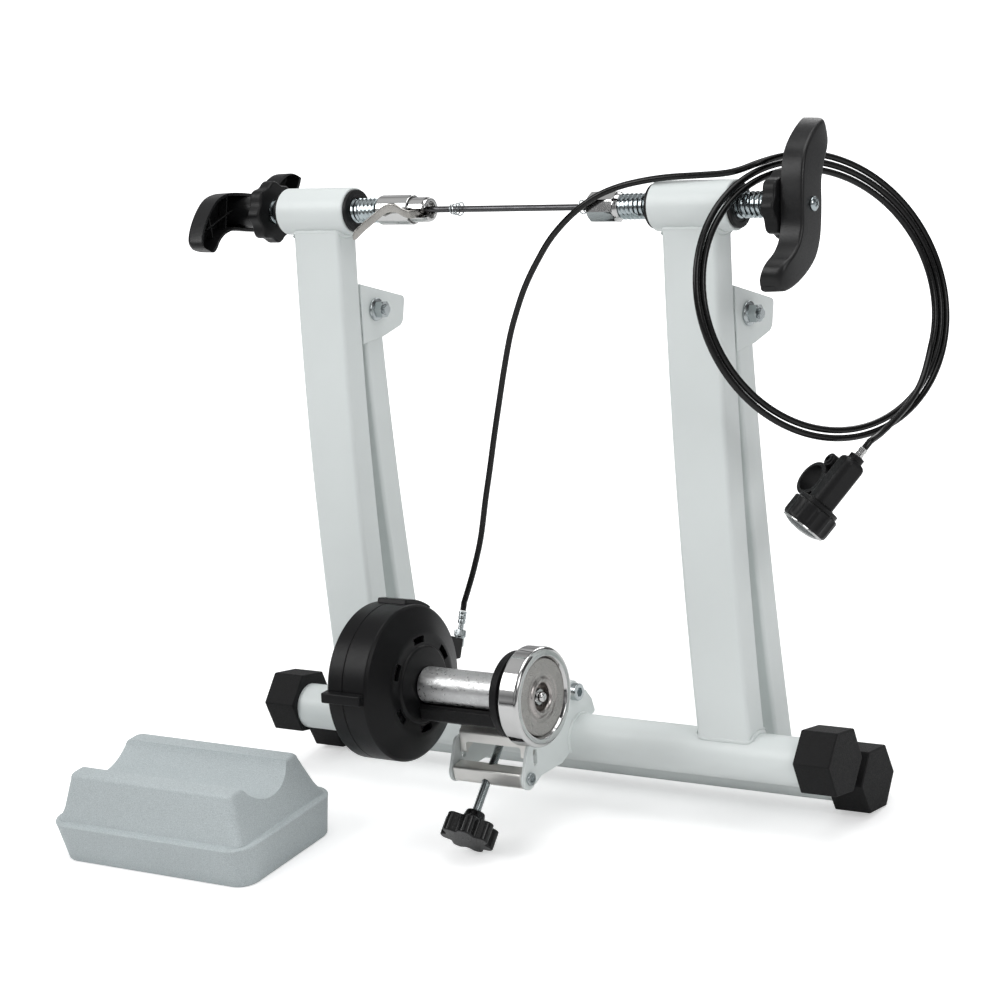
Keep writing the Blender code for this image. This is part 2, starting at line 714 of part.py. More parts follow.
def build_unit_bracket(side, name, owner):
    a, b = TILT_AXIS, BARREL_AXIS
    outline = rounded(arc(a, 0.0090, 5, 150, 5)
                      + [(-0.0220, 0.0230, 0.006), (-0.0600, 0.0165, 0.004), (-0.0760, 0.0150, 0.006)]
                      + arc(b, 0.0090, 150, 290, 5)
                      + [(-0.0600, -0.0140, 0.006), (-0.0300, -0.0130, 0.004), (-0.0150, -0.0060), (0.0120, 0.0120),
                         (0.0235, 0.0150, 0.002), (0.0195, 0.0270, 0.004), (0.0120, 0.0360, 0.003)], 2)
    x = side * (UNIT_PLATE_OUTER - UNIT_PLATE / 2)
    web = plate(outline, UNIT_PLATE, at=(x, 0, 0), holes=[slot((-0.0669, 0.0075), (-0.0673, -0.0010), 0.0026, 4)])
    cut(web, *[rod(r + GAP, x - 0.01, x + 0.01, centre, n)
               for r, centre, n in ((0.0040, a, 12), (0.0040, b, 12), (TUBE_RADIUS, (0, 0), 24))])
    part(web, name, "painted steel", owner)


def build_screw_barrel(owner):
    reach = UNIT_PLATE_OUTER - UNIT_PLATE - GAP
    barrel = pipe(BARREL_RADIUS, 0.0040 + GAP, -reach, reach, BARREL_AXIS, 16)
    cut(barrel, turned([(0, 0.02), (SCREW_RADIUS + GAP, 0.02), (SCREW_RADIUS + GAP, -0.02), (0, -0.02)], 16,
               at=(SCREW_X, *BARREL_AXIS), turn=screw_turn()))
    part(barrel, "screw_barrel", "zinc plated steel", owner)
    for side, label in ((-1, "left"), (1, "right")):
        bolt = socket_bolt(side * (UNIT_PLATE_OUTER + GAP), side, BARREL_AXIS, 0.0040, 0.0065,
                           side * (reach - 0.0140))
        part(bolt, "barrel_bolt_" + label, "zinc plated steel", owner)


def build_tilt_bolt(owner):
    """The bolt that the unit tilts on, with its head at one end and its nut at the other."""
    face = UNIT_PLATE_OUTER + GAP
    profile = [(0, face + 0.0030), (0.0030, face + 0.0030), (0.0030, face + 0.0060), (0.0065, face + 0.0060),
               (0.0070, face + 0.0050), (0.0070, face), (0.0040, face), (0.0040, -face), (0.0070, -face),
               (0.0070, -face - 0.0060), (0, -face - 0.0060)]
    part(turned(profile, 14, at=(0, *TILT_AXIS)), "tilt_bolt", "zinc plated steel", owner)


# Tilting unit

def screw_turn():
    return (-math.radians(SCREW_SLOPE), 0, 0)


def on_screw(distance):
    """A point on the screw's axis, measured up from the barrel, as Y, Z."""
    slope = math.radians(SCREW_SLOPE)
    return (BARREL_AXIS[0] + distance * math.sin(slope), BARREL_AXIS[1] + distance * math.cos(slope))


def build_carrier(owner):
    """The plated channel: two side walls, a sloping top, a front lip and the screw's tongue."""
    a = TILT_AXIS
    outline = rounded(arc(a, 0.0095, -60, 115, 7)
                      + [(-0.0655, 0.0272, 0.006), (-0.0730, 0.0200, 0.004), (-0.0730, 0.0020, 0.002),
                         (-0.0660, 0.0020, 0.002), (-0.0400, 0.0130, 0.010), (-0.0220, 0.0240, 0.006)])
    shell = plate(outline, 2 * CARRIER_HALF_WIDTH, at=(0, 0, 0))
    inside = [(-0.0705, -0.0100), (-0.0705, 0.0185), (-0.0650, 0.0245), (-0.0160, 0.0455), (-0.0160, 0.0700),
              (0.0200, 0.0700), (0.0200, -0.0100)]
    cut(shell, plate(inside, 2 * (CARRIER_HALF_WIDTH - CARRIER_PLATE), at=(0, 0, 0)),
        rod(0.0040 + GAP, -0.05, 0.05, a, 16),
        block((0.0300, 0.0100, 0.0080), (0, -0.0720, 0.0120)))
    thickness = 0.0030
    foot = on_screw(SCREW_REACH + GAP + thickness / 2)
    tongue = block((0.0200, 0.0220, thickness), (SCREW_X, *foot), screw_turn())
    slide = math.radians(SCREW_SLOPE)
    tongue.location += Vector((0, -math.cos(slide) * 0.0020, math.sin(slide) * 0.0020))
    join(shell, tongue)
    part(shell, "roller_carrier", "zinc plated steel", owner)


def build_cradle(owner):
    """The black casting under the roller, with the bearing plate at its flywheel end."""
    c = ROLLER_AXIS
    inner, outer = ROLLER_RADIUS + 0.0020, ROLLER_RADIUS + 0.0060
    low, high = -CARRIER_HALF_WIDTH - 0.0002, 0.0400
    trough = plate(arc(c, outer, 168, 345, 9) + arc(c, inner, 345, 168, 9), high - low,
                   at=((low + high) / 2, 0, 0))
    saddle = rounded([(-0.1010, 0.0500, 0.003), (-0.0660, 0.0276, 0.0), (-0.0400, 0.0387, 0.003),
                      (-0.0480, 0.0500, 0.006), (-0.0800, 0.0640, 0.006), (-0.0905, 0.0620, 0)])
    join(trough, plate(saddle, 0.0520, at=(0.0030, 0, 0)),
         turned([(0.0300, 0.0560), (0.0340, 0.0520), (0.0340, 0.0400), (0.0300, 0.0395), (0, 0.0395), (0, 0.0560)],
                24, ring=True, at=(0, *c)))
    cut(trough, rod(inner, low - 0.01, high - 0.0015, c, 24), rod(SHAFT_RADIUS + 0.0005, 0.03, 0.07, c, 12))
    part(trough, "roller_cradle", "black plastic", owner)


def build_covers(owner):
    """The drum's two shells, with the cooling slots and the lugs on their rims."""
    c = ROLLER_AXIS
    r = DRUM_RADIUS
    wall = 0.0025
    front = turned([(0.0080, -0.0330), (0.0175, -0.0330), (0.0295, -0.0345), (0.0310, -0.0362),
                    (0.0395, -0.0366), (r - 0.0015, -0.0462), (r, -0.0480), (r, -0.0685),
                    (r - wall, -0.0685), (r - wall, -0.0490), (r - 0.0030, -0.0484), (0.0390, -0.0392),
                    (0.0300, -0.0388), (0.0280, -0.0368), (0.0080, -0.0357)], 28, ring=True, at=(0, *c))
    for middle in range(30, 390, 60):
        arc_in = arc(c, 0.0330, middle - 10, middle + 10, 3)
        arc_out = arc(c, 0.0385, middle + 10, middle - 10, 3)
        cut(front, plate(arc_in + arc_out, 0.0080, at=(-0.0375, 0, 0)))
    part(front, "unit_front_cover", "black plastic", owner)
    back = turned([(r, -0.0688), (r, -0.0820), (r - 0.0035, -0.0855), (SHAFT_RADIUS + 0.0005, -0.0855),
                   (SHAFT_RADIUS + 0.0005, -0.0830), (r - 0.0045, -0.0830), (r - wall, -0.0810),
                   (r - wall, -0.0688)], 28, ring=True, at=(0, *c))
    top = rounded([(-0.0960, 0.1210, 0), (-0.0830, 0.1290, 0.003), (-0.0470, 0.1140, 0.004), (-0.0400, 0.1070, 0.003),
                   (-0.0490, 0.0930, 0), (-0.0700, 0.1150, 0)])
    left = rounded([(-0.1600, 0.0960, 0), (-0.1790, 0.0800, 0.003), (-0.1750, 0.0655, 0.003), (-0.1600, 0.0600, 0)])
    for lug in (top, left):
        ear = plate(lug, 0.0110, at=(-0.0745, 0, 0))
        join(back, ear)
    cut(back, rod(r - wall, -0.0810, -0.0600, c, 28))
    part(back, "unit_back_cover", "black plastic", owner)


def build_magnets(unit, sweep):
    """The fixed ring of magnets on the back cover and the ring that the cable turns."""
    c = ROLLER_AXIS
    fixed = pipe(0.0550, 0.0200, -0.0827, -0.0797, c, 24)
    part(fixed, "fixed_magnet_plate", "magnet coating", unit)
    part(pipe(0.0550, 0.0200, -0.0792, -0.0762, c, 24), "moving_magnet_plate", "magnet coating", sweep)


def build_adjuster(owner):
    """The arm, nut and thin tube where the cable enters the drum."""
    c = ROLLER_AXIS
    start = CABLE_START
    heading = CABLE_HEADING
    arm = plate(rounded([(-0.0500, 0.0930, 0), (-0.0290, 0.0860, 0.002), (-0.0140, 0.0800, 0.002),
                         (-0.0150, 0.0680, 0.003), (-0.0290, 0.0690, 0.003), (-0.0500, 0.0760, 0)]),
                0.0110, at=(start.x, 0, 0))
    cut(arm, rod(DRUM_RADIUS + GAP, -0.09, -0.04, c, 48))
    root = start - heading * 0.0290
    stem = turned([(0, 0.0287), (0.0032, 0.0287), (0.0032, 0.0190), (0.0022, 0.0180), (0.0022, 0.0140),
                   (0.0052, 0.0135), (0.0052, 0.0080), (0.0040, 0.0075), (0.0040, 0), (0, 0)],
                  12, at=root, turn=heading.to_track_quat("Z", "X").to_euler())
    join(arm, stem)
    part(arm, "cable_adjuster", "zinc plated steel", owner)


def build_roller(owner):
    c = ROLLER_AXIS
    bore = SHAFT_RADIUS + GAP
    low, high = -0.0322, 0.0380
    part(turned([(ROLLER_RADIUS - 0.001, high), (ROLLER_RADIUS, high - 0.001), (ROLLER_RADIUS, low + 0.001),
                 (ROLLER_RADIUS - 0.001, low), (bore, low), (bore, high)], 24, ring=True, at=(0, *c)),
         "roller", "grained aluminium", owner)
    part(turned([(0, 0.0830), (0.0040, 0.0830), (0.0040, 0.0790), (0.0080, 0.0790), (0.0080, 0.0743),
                 (SHAFT_RADIUS, 0.0743), (SHAFT_RADIUS, -0.0850), (0, -0.0850)], 16, at=(0, *c)),
         "roller_axle", "zinc plated steel", owner)
    f = FLYWHEEL_RADIUS
    part(turned([(0.0150, 0.0740), (0.0165, 0.0770), (0.0195, 0.0770), (0.0210, 0.0755), (f - 0.0085, 0.0755),
                 (f - 0.0070, 0.0780), (f - 0.0015, 0.0780), (f, 0.0765), (f, 0.0615), (f - 0.0015, 0.0600),
                 (bore, 0.0600), (bore, 0.0740)], 24, ring=True, at=(0, *c)),
         "flywheel", "chromed steel", owner)
    part(pipe(0.0560, bore, -0.0660, -0.0620, c, 24), "rotor_disc", "grained aluminium", owner)


def build_tension_screw(pad_body, screw_body):
    """The pad under the tongue, the threaded rod and its star knob."""
    turn = screw_turn()
    place = (SCREW_X, *BARREL_AXIS)
    top = SCREW_REACH
    part(turned([(0, top), (0.0045, top), (0.0060, top - 0.0015), (0.0060, top - 0.0060),
                 (SCREW_RADIUS + GAP, top - 0.0060), (SCREW_RADIUS + GAP, top - 0.0025), (0, top - 0.0025)],
                20, at=place, turn=turn), "screw_pad", "zinc plated steel", pad_body)
    knob_top = -STAR_DROP + STAR_HEIGHT + 0.0090
    part(turned([(0, top - 0.0028), (SCREW_RADIUS, top - 0.0028), (SCREW_RADIUS, knob_top - 0.0100),
                 (0, knob_top - 0.0100)], 16, at=place, turn=turn), "adjusting_screw", "zinc plated steel", screw_body)
    middle = Vector((SCREW_X, *on_screw(-STAR_DROP + STAR_HEIGHT / 2)))
    star = plate(lobed(STAR_RADIUS, 0.0042, STAR_LOBES, 35, 90), STAR_HEIGHT, at=middle, turn=turn)
    soften(star, 0.0015, 1, 60)
    collar = turned([(0.0075, knob_top), (0.0095, knob_top - 0.0080), (0.0105, knob_top - 0.0140),
                     (0, knob_top - 0.0140), (0, knob_top)], 16, ring=True, at=place, turn=turn)
    bore = turned([(0, knob_top + 0.01), (SCREW_RADIUS + GAP, knob_top + 0.01),
                   (SCREW_RADIUS + GAP, knob_top - 0.0103), (0, knob_top - 0.0103)], 16, at=place, turn=turn)
    join(star, collar)
    cut(star, bore)
    part(star, "star_knob", "black plastic", screw_body)


# Cable and shifter

def coil_axes():
    heading, tilt, roll = (math.radians(a) for a in (COIL_HEADING, COIL_TILT, COIL_ROLL))
    across = Vector((math.cos(heading), math.sin(heading), 0))
    side = Vector((-math.sin(heading), math.cos(heading), 0))
    up = math.cos(tilt) * Vector((0, 0, 1)) + math.sin(tilt) * side
    return (math.cos(roll) * across + math.sin(roll) * up, -math.sin(roll) * across + math.cos(roll) * up)


def coil_points():
    """The loops that hang on the right spindle, each inside the one before."""
    across, up = coil_axes()
    points = []
    for angle in range(COIL_FIRST, COIL_LAST - 1, -15):
        grow = COIL_STEP * (1.5 - (COIL_CROSSING - angle) / 360)
        turn = math.radians(angle)
        points.append(COIL_CENTRE + (COIL_HALF_WIDTH + grow) * math.cos(turn) * across
                      + (COIL_HALF_HEIGHT + grow) * math.sin(turn) * up)
    return points


def least_gap(points, radius):
    """The least gap between two stretches of a cord that are over 40 mm apart along it."""
    least = 1.0
    for i in range(len(points) - 1):
        for j in range(i + 4, len(points) - 1):
            for step in range(5):
                spot = points[i].lerp(points[i + 1], step / 4)
                a, b = points[j], points[j + 1]
                share = max(0.0, min(1.0, (spot - a).dot(b - a) / (b - a).length_squared))
                least = min(least, (spot - a.lerp(b, share)).length)
    return least - 2 * radius


LEAD_ROUTE = [(-0.0610, -0.0030, 0.1180), (-0.0550, -0.0010, 0.1350),
              (-0.0470, 0.0005, 0.1600), (-0.0400, 0.0020, 0.1920), (-0.0345, 0.0035, 0.2160),
              (-0.0280, 0.0050, 0.2450), (-0.0210, 0.0060, 0.2730), (-0.0129, 0.0050, 0.2996),
              (-0.0031, 0.0030, 0.3267), (0.0077, 0.0000, 0.3480), (0.0191, -0.0030, 0.3668),
              (0.0339, -0.0070, 0.3856), (0.0533, -0.0120, 0.4062), (0.0765, -0.0160, 0.4242),
              (0.0975, -0.0150, 0.4368), (0.1155, -0.0110, 0.4435), (0.1355, -0.0085, 0.4474),
              (0.1570, -0.0060, 0.4496), (0.1800, -0.0030, 0.4502), (0.2010, 0.0010, 0.4508),
              (0.2130, 0.0045, 0.4528), (0.2235, 0.0120, 0.4564), (0.2320, 0.0245, 0.4590),
              (0.2390, 0.0410, 0.4596), (0.2440, 0.0570, 0.4580)]
TAIL_ROUTE = [(0.3010, 0.1080, 0.2790), (0.3000, 0.0880, 0.2660), (0.2985, 0.0660, 0.2575),
              (0.2960, 0.0450, 0.2500)]


def build_cable(owner):
    """The lead from the drum over the right sleeve, then the loops and the tail to the shifter."""
    loops = coil_points()
    run = (loops[1] - loops[0]).normalized()
    route = [CABLE_START + CABLE_HEADING * CABLE_STRAIGHT, *LEAD_ROUTE, loops[0] - run * CABLE_STRAIGHT]
    lead = [CABLE_START + CABLE_HEADING * GAP, *smooth(route, 2), loops[0] - run * GAP]
    part(tube(lead, CABLE_RADIUS, 2), "cable_run", "cable jacket", owner)
    down = shifter_axes()[2]
    route = [*loops[-2:], *TAIL_ROUTE, SHIFTER_TOP - down * CABLE_STRAIGHT]
    tail = [*smooth(route, 2)[3:], SHIFTER_TOP - down * GAP]
    print("least gap of the cable coil to itself, mm", round(1000 * least_gap(loops + tail, CABLE_RADIUS), 2))
    part(tube(loops + tail, CABLE_RADIUS, 1), "cable_coil", "cable jacket", owner)


def shifter_axes():
    """The shifter's own axes: toward the clamp, across, and from the cable to the dial."""
    down = (SHIFTER_FACE - SHIFTER_TOP).normalized()
    clamp = Vector((-0.655, -0.361, 0.660))
    clamp = (clamp - down * clamp.dot(down)).normalized()
    return (clamp, down.cross(clamp), down)


def shifter_place(along):
    return SHIFTER_TOP + shifter_axes()[2] * along


def build_shifter(owner, dial):
    length = (SHIFTER_FACE - SHIFTER_TOP).length
    dial_start = length - DIAL_LENGTH
    turn = Matrix(shifter_axes()).transposed().to_euler()
    case = turned([(0, dial_start - GAP), (0.0165, dial_start - GAP), (0.0165, dial_start - 0.0035),
                   (SHIFTER_RADIUS, dial_start - 0.0045), (SHIFTER_RADIUS, 0.0150), (0.0085, 0.0120),
                   (0.0060, 0.0115), (0.0060, 0.0075), (0.0032, 0.0070), (0.0032, 0), (0, 0)],
                  16, at=SHIFTER_TOP, turn=turn)
    bore, off = clamp_axes()
    grip = shifter_place(0.0400) + off * 0.0245 - bore * 0.0020
    ears = shifter_place(0.0208) + off * 0.0213 - bore * 0.0014
    along_bore = bore.to_track_quat("Z", "X").to_euler()
    join(case, block((0.0080, 0.0140, 0.0180), shifter_place(0.0400) + off * 0.0080,
                     Matrix((off, bore, off.cross(bore))).transposed().to_euler()))
    for place, radius, hole, half, steps in ((grip, 0.0145, CLAMP_BORE, 0.0080, 20), (ears, 0.0055, 0.0030, 0.0068, 12)):
        join(case, turned([(radius, half), (radius, -half), (hole, -half), (hole, half)], steps, ring=True, at=place,
                          turn=along_bore))
    part(case, "shifter_body", "black plastic", owner)
    knob = turned([(0, length - 0.0010), (DIAL_RADIUS - 0.0035, length - 0.0010), (DIAL_RADIUS - 0.0030, length),
                   (DIAL_RADIUS - 0.0010, length), (DIAL_RADIUS, length - 0.0020),
                   (DIAL_RADIUS, dial_start + 0.0010), (DIAL_RADIUS - 0.0010, dial_start), (0, dial_start)],
                  24, at=SHIFTER_TOP, turn=turn)
    part(knob, "shifter_dial", "black plastic", dial)


def clamp_axes():
    """The handlebar clamp's bore points across the shifter, and its ring stands off to the rear."""
    clamp, third, down = shifter_axes()
    slant = math.radians(23)
    return clamp * math.cos(slant) - third * math.sin(slant), third * math.cos(slant) + clamp * math.sin(slant)


# Wheel block

def build_wheel_block(owner):
    """A hollow rest for the front wheel: a stepped base, sloped sides and a round trough."""
    half_l, half_w = BLOCK_LENGTH / 2, BLOCK_WIDTH / 2
    base = plate(rounded([(-half_l, -half_w, 0.016), (half_l, -half_w, 0.016), (half_l, half_w, 0.016),
                          (-half_l, half_w, 0.016)], 5), BLOCK_BASE, at=(0, 0, BLOCK_BASE / 2), turn=(0, 0, 0))
    for vertex in base.data.vertices:
        if vertex.co.z > 0:
            vertex.co.x *= 1 + BLOCK_FLARE / half_l
            vertex.co.y *= 1 + BLOCK_FLARE / half_w
    soften(base, 0.0015, 1, 60)
    overlap = 0.0050
    seat = BLOCK_BASE - overlap
    length = BLOCK_LENGTH + 2 * (BLOCK_FLARE - BLOCK_STEP)
    width = BLOCK_WIDTH + 2 * (BLOCK_FLARE - BLOCK_STEP)
    upper = frustum(length, width, BLOCK_HEIGHT - seat, BLOCK_DRAFT, (0, 0, seat))
    soften(upper, 0.0050, 2, 30)
    trough = turned([(0, 0.15), (BLOCK_TROUGH_RADIUS, 0.15), (BLOCK_TROUGH_RADIUS, -0.15), (0, -0.15)], 40,
                    at=(0, 0, BLOCK_HEIGHT - BLOCK_TROUGH_DEPTH + BLOCK_TROUGH_RADIUS))
    inside = frustum(length - 2 * BLOCK_WALL, width - 2 * BLOCK_WALL,
                     BLOCK_HEIGHT - BLOCK_TROUGH_DEPTH - BLOCK_WALL - seat, BLOCK_DRAFT, (0, 0, seat))
    flare = math.degrees(math.atan(BLOCK_FLARE / BLOCK_BASE))
    under = frustum(BLOCK_LENGTH - 2 * BLOCK_WALL, BLOCK_WIDTH - 2 * BLOCK_WALL, BLOCK_BASE - BLOCK_WALL, -flare,
                    (0, 0, -0.0001))
    soften(under, 0.0060, 1, 30)
    join(base, upper)
    cut(base, trough, under, inside)
    part(base, "wheel_block", "grey plastic", owner)


# Assembly

def lean_angle():
    """The lean, in radians, that puts the star knob and the rear feet on one floor."""
    slope = math.radians(SCREW_SLOPE)
    knob = Vector(on_screw(-STAR_DROP)) + STAR_RADIUS * Vector((math.cos(slope), -math.sin(slope)))
    foot = Vector(hexagon(REAR_FOOT_CENTRE, FOOT_RADIUS, REAR_FOOT_TURN)[5])
    return math.atan2(foot.y - knob.y, foot.x - knob.x), foot


def build_trainer():
    lean, contact = lean_angle()
    stand = body("front_frame", (0, 0, 0))
    stand.rotation_euler = (-lean, 0, 0)
    rear = body("rear_frame", (0, *PIVOT), stand)
    build_front_tube(stand)
    build_rear_tube(rear)
    for side, label in ((-1, "left"), (1, "right")):
        build_upright(side, "front_upright_" + label, stand)
        build_sleeve(side, "sleeve_" + label, stand)
        build_bush(side, -1, "bush_inner_" + label, stand)
        build_bush(side, 1, "bush_outer_" + label, stand)
        build_bracket(side, "hinge_bracket_" + label, stand)
        build_pivot(side, stand)
        build_foot(side, FRONT_FOOT_CENTRE, (0, 0), FRONT_FOOT_TURN, "front_foot_" + label, stand)
        build_foot(side, REAR_FOOT_CENTRE, REAR_TUBE, REAR_FOOT_TURN, "rear_foot_" + label, rear)
        build_leg(side, "rear_leg_" + label, rear)
        build_unit_bracket(side, "unit_bracket_" + label, stand)
    build_screw_barrel(stand)
    build_tilt_bolt(stand)
    build_clamps(stand)
    build_unit(stand)
    dial = body("shifter_dial_axis", SHIFTER_TOP, stand)
    build_shifter(stand, dial)
    build_cable(stand)
    return stand, lean, contact


def build_clamps(stand):
    axle = (0, 0, AXLE_HEIGHT)
    cups = {-1: (0.0840, 0.1170, 0.0060), 1: (0.0854, 0.1123, 0.0130)}
    knobs = {-1: (0.2242, 0.2360), 1: (0.2438, 0.2548)}
    turns = {-1: 72.0, 1: 0.0}
    for side, label in ((-1, "left"), (1, "right")):
        clamp = body("clamp_" + label, axle, stand)
        spindle = body("spindle_axis_" + label, axle, clamp)
        locker = body("lock_knob_axis_" + label, axle, spindle)
        inner, outer, recess = cups[side]
        build_cup(side, inner, outer, recess, "dropout_cup_" + label, clamp)
        build_spindle(side, outer + GAP, "spindle_" + label, spindle)
        build_handle(side, turns[side], "handle_" + label, spindle)
        build_lock_knob(side, *knobs[side], "lock_knob_" + label, locker)
        if side < 0:
            lever = body("lever_axis", (LEVER_PIVOT_X, 0, AXLE_HEIGHT), clamp)
            build_skewer(clamp, lever)


def build_unit(stand):
    unit = body("roller_unit", (0, *TILT_AXIS), stand)
    shaft = body("roller_shaft", (0, *ROLLER_AXIS), unit)
    sweep = body("magnet_axis", (0, *ROLLER_AXIS), unit)
    pad = body("screw_slide", (SCREW_X, *BARREL_AXIS), stand)
    screw = body("screw_axis", (SCREW_X, *BARREL_AXIS), pad)
    build_carrier(unit)
    build_cradle(unit)
    build_covers(unit)
    build_magnets(unit, sweep)
    build_adjuster(unit)
    build_roller(shaft)
    build_tension_screw(pad, screw)


def leaned(place, lean):
    return Euler((-lean, 0, 0)).to_matrix() @ Vector(place)


def set_down(stand, resting, lean, contact):
    """Stand the trainer on the floor, lay the block beside it and centre both on the origin."""
    touch = leaned((0, *contact), lean)
    stand.location = (0, 0, -touch.z)
    corner = Vector((BLOCK_CORNER[0], touch.y + BLOCK_CORNER[1], 0))
    resting.location = corner + Vector((BLOCK_LENGTH / 2, BLOCK_WIDTH / 2, 0))
    bpy.context.view_layer.update()
    graph = bpy.context.evaluated_depsgraph_get()
    spots = []
    for shape in PARTS.objects:
        if shape.type == "MESH" and not shape.name.startswith(("cable_", "shifter_")):
            seen = shape.evaluated_get(graph)
            spots += [seen.matrix_world @ vertex.co for vertex in seen.data.vertices]
    for axis in (0, 1):
        middle = (min(s[axis] for s in spots) + max(s[axis] for s in spots)) / 2
        stand.location[axis] -= middle
        resting.location[axis] -= middle
    bpy.context.view_layer.update()
    return spots


trainer_body, lean_back, floor_touch = build_trainer()
block_body = body("block_lift", (0, 0, 0))
build_wheel_block(block_body)
set_down(trainer_body, block_body, lean_back, floor_touch)
print("lean in degrees", round(math.degrees(lean_back), 3), "stand at",
      [round(v, 6) for v in trainer_body.location])
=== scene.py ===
from math import asin, atan2, ceil, copysign, cos, degrees, hypot, pi, radians, sin, sqrt, tan, tau

import bmesh
import bpy
from mathutils import Matrix, Vector


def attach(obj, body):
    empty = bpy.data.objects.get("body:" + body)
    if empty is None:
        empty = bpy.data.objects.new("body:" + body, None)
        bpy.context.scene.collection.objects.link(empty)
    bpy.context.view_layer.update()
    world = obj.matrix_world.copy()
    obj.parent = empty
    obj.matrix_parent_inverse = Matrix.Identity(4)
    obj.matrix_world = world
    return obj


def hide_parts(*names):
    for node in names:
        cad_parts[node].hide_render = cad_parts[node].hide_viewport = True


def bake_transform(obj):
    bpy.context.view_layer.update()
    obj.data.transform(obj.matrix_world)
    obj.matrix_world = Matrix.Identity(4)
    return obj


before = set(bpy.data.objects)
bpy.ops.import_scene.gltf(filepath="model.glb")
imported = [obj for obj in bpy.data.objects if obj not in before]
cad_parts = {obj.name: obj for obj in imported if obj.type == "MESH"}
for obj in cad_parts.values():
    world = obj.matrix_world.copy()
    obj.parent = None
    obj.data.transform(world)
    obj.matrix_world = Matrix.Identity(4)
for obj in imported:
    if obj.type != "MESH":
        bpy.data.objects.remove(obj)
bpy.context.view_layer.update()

# The trainer is drawn upright, with the middle of its front base tube at 0, 0, 0,
# and STAND leans it back onto its tension knob and rear feet. Lengths are in metres.
LEAN = asin(0.107416019)
STAND = Matrix.Translation((0.037886068, 0.055188399, 0.058337212)) @ Matrix.Rotation(-LEAN, 4, "X")
scene = bpy.context.scene
scene.view_settings.view_transform = "Standard"

# Camera
# It stands where the photograph was taken from, to the right of the trainer and a little above it,
# with a long lens.
EYE = Vector((1.19558, -1.73004, 0.63593))
YAW, PITCH, ROLL = 0.61419, 0.20639, -0.08495
ahead = Vector((-sin(YAW) * cos(PITCH), cos(YAW) * cos(PITCH), -sin(PITCH)))
level = Vector((cos(YAW), sin(YAW), 0))
above = level.cross(ahead)
lens = bpy.data.cameras.new("camera")
lens.lens = 96.797
lens.sensor_width = 36
lens.clip_end = 100
camera = bpy.data.objects.new("camera", lens)
scene.collection.objects.link(camera)
aim = Matrix((cos(ROLL) * level + sin(ROLL) * above,
              -sin(ROLL) * level + cos(ROLL) * above, -ahead)).transposed().to_4x4()
aim.translation = EYE
camera.matrix_world = STAND @ aim
scene.camera = camera

# Studio
# A white room. The sky is white to the camera and pale to matt surfaces, while metal mirrors grey
# bands and dark panels.


def put(node, **values):
    """Set a node's sockets; an underscore in a name stands for a space."""
    for socket, value in values.items():
        node.inputs[socket.replace("_", " ")].default_value = value


def add(tree, kind, settings=None, **values):
    """A new shader node with its settings and sockets."""
    made = tree.nodes.new("ShaderNode" + kind)
    for name, value in (settings or {}).items():
        setattr(made, name, value)
    put(made, **values)
    return made


def wire(tree, *links):
    """Join sockets; each link is a node, its output, the next node and its input."""
    for source, output, target, entry in links:
        tree.links.new(source.outputs[output], target.inputs[entry])


sky = bpy.data.worlds.new("sky")
scene.world = sky
sky.use_nodes = True
tree = sky.node_tree
tree.nodes.clear()
seen = add(tree, "Background", Color=(1, 1, 1, 1))
mirrored = add(tree, "Background")
ambient = add(tree, "Background", Color=(0.97, 0.985, 1, 1), Strength=0.42)
direction = add(tree, "TexCoord")
split = add(tree, "SeparateXYZ")
height = add(tree, "ValToRGB")
stops = height.color_ramp.elements
for place, grey in ((0.0, 0.06), (0.12, 0.55), (0.26, 0.3), (0.42, 0.75), (0.6, 0.3)):
    stop = stops.new(place) if place else stops[0]
    stop.color = (grey, grey, grey * 1.01, 1)
panels = add(tree, "TexWave", {"bands_direction": "X"}, Scale=0.55, Distortion=1.5, Phase_Offset=0.8)
flags = add(tree, "Mix", {"data_type": "RGBA"}, B=(0.04, 0.04, 0.042, 1))
rays = add(tree, "LightPath")
to_metal = add(tree, "Math", {"operation": "MAXIMUM"})
metal_mix, camera_mix = add(tree, "MixShader"), add(tree, "MixShader")
wire(tree, (direction, "Generated", split, "Vector"), (split, "Z", height, "Fac"),
     (height, "Color", flags, "A"), (direction, "Generated", panels, "Vector"),
     (panels, "Fac", flags, "Factor"), (flags, "Result", mirrored, "Color"),
     (rays, "Is Glossy Ray", to_metal, 0), (rays, "Is Transmission Ray", to_metal, 1),
     (to_metal, "Value", metal_mix, "Fac"), (ambient, "Background", metal_mix, 1),
     (mirrored, "Background", metal_mix, 2), (rays, "Is Camera Ray", camera_mix, "Fac"),
     (metal_mix, "Shader", camera_mix, 1), (seen, "Background", camera_mix, 2),
     (camera_mix, "Shader", add(tree, "OutputWorld"), "Surface"))

SOFTBOXES = (("softbox_left", (-1.5, -1.7, 2.1), 1.5, 31), ("softbox_top", (0.3, 0.2, 2.6), 1.8, 22),
             ("softbox_right", (2.3, -0.7, 1.5), 1.1, 13), ("softbox_back", (-0.3, 2.2, 1.5), 1.2, 12))
for name, place, size, watts in SOFTBOXES:
    lamp = bpy.data.lights.new(name, "AREA")
    lamp.size = size
    lamp.energy = watts
    hung = bpy.data.objects.new(name, lamp)
    scene.collection.objects.link(hung)
    hung.location = place
    hung.rotation_euler = (Vector((0, 0, 0.25)) - Vector(place)).to_track_quat("-Z", "Y").to_euler()

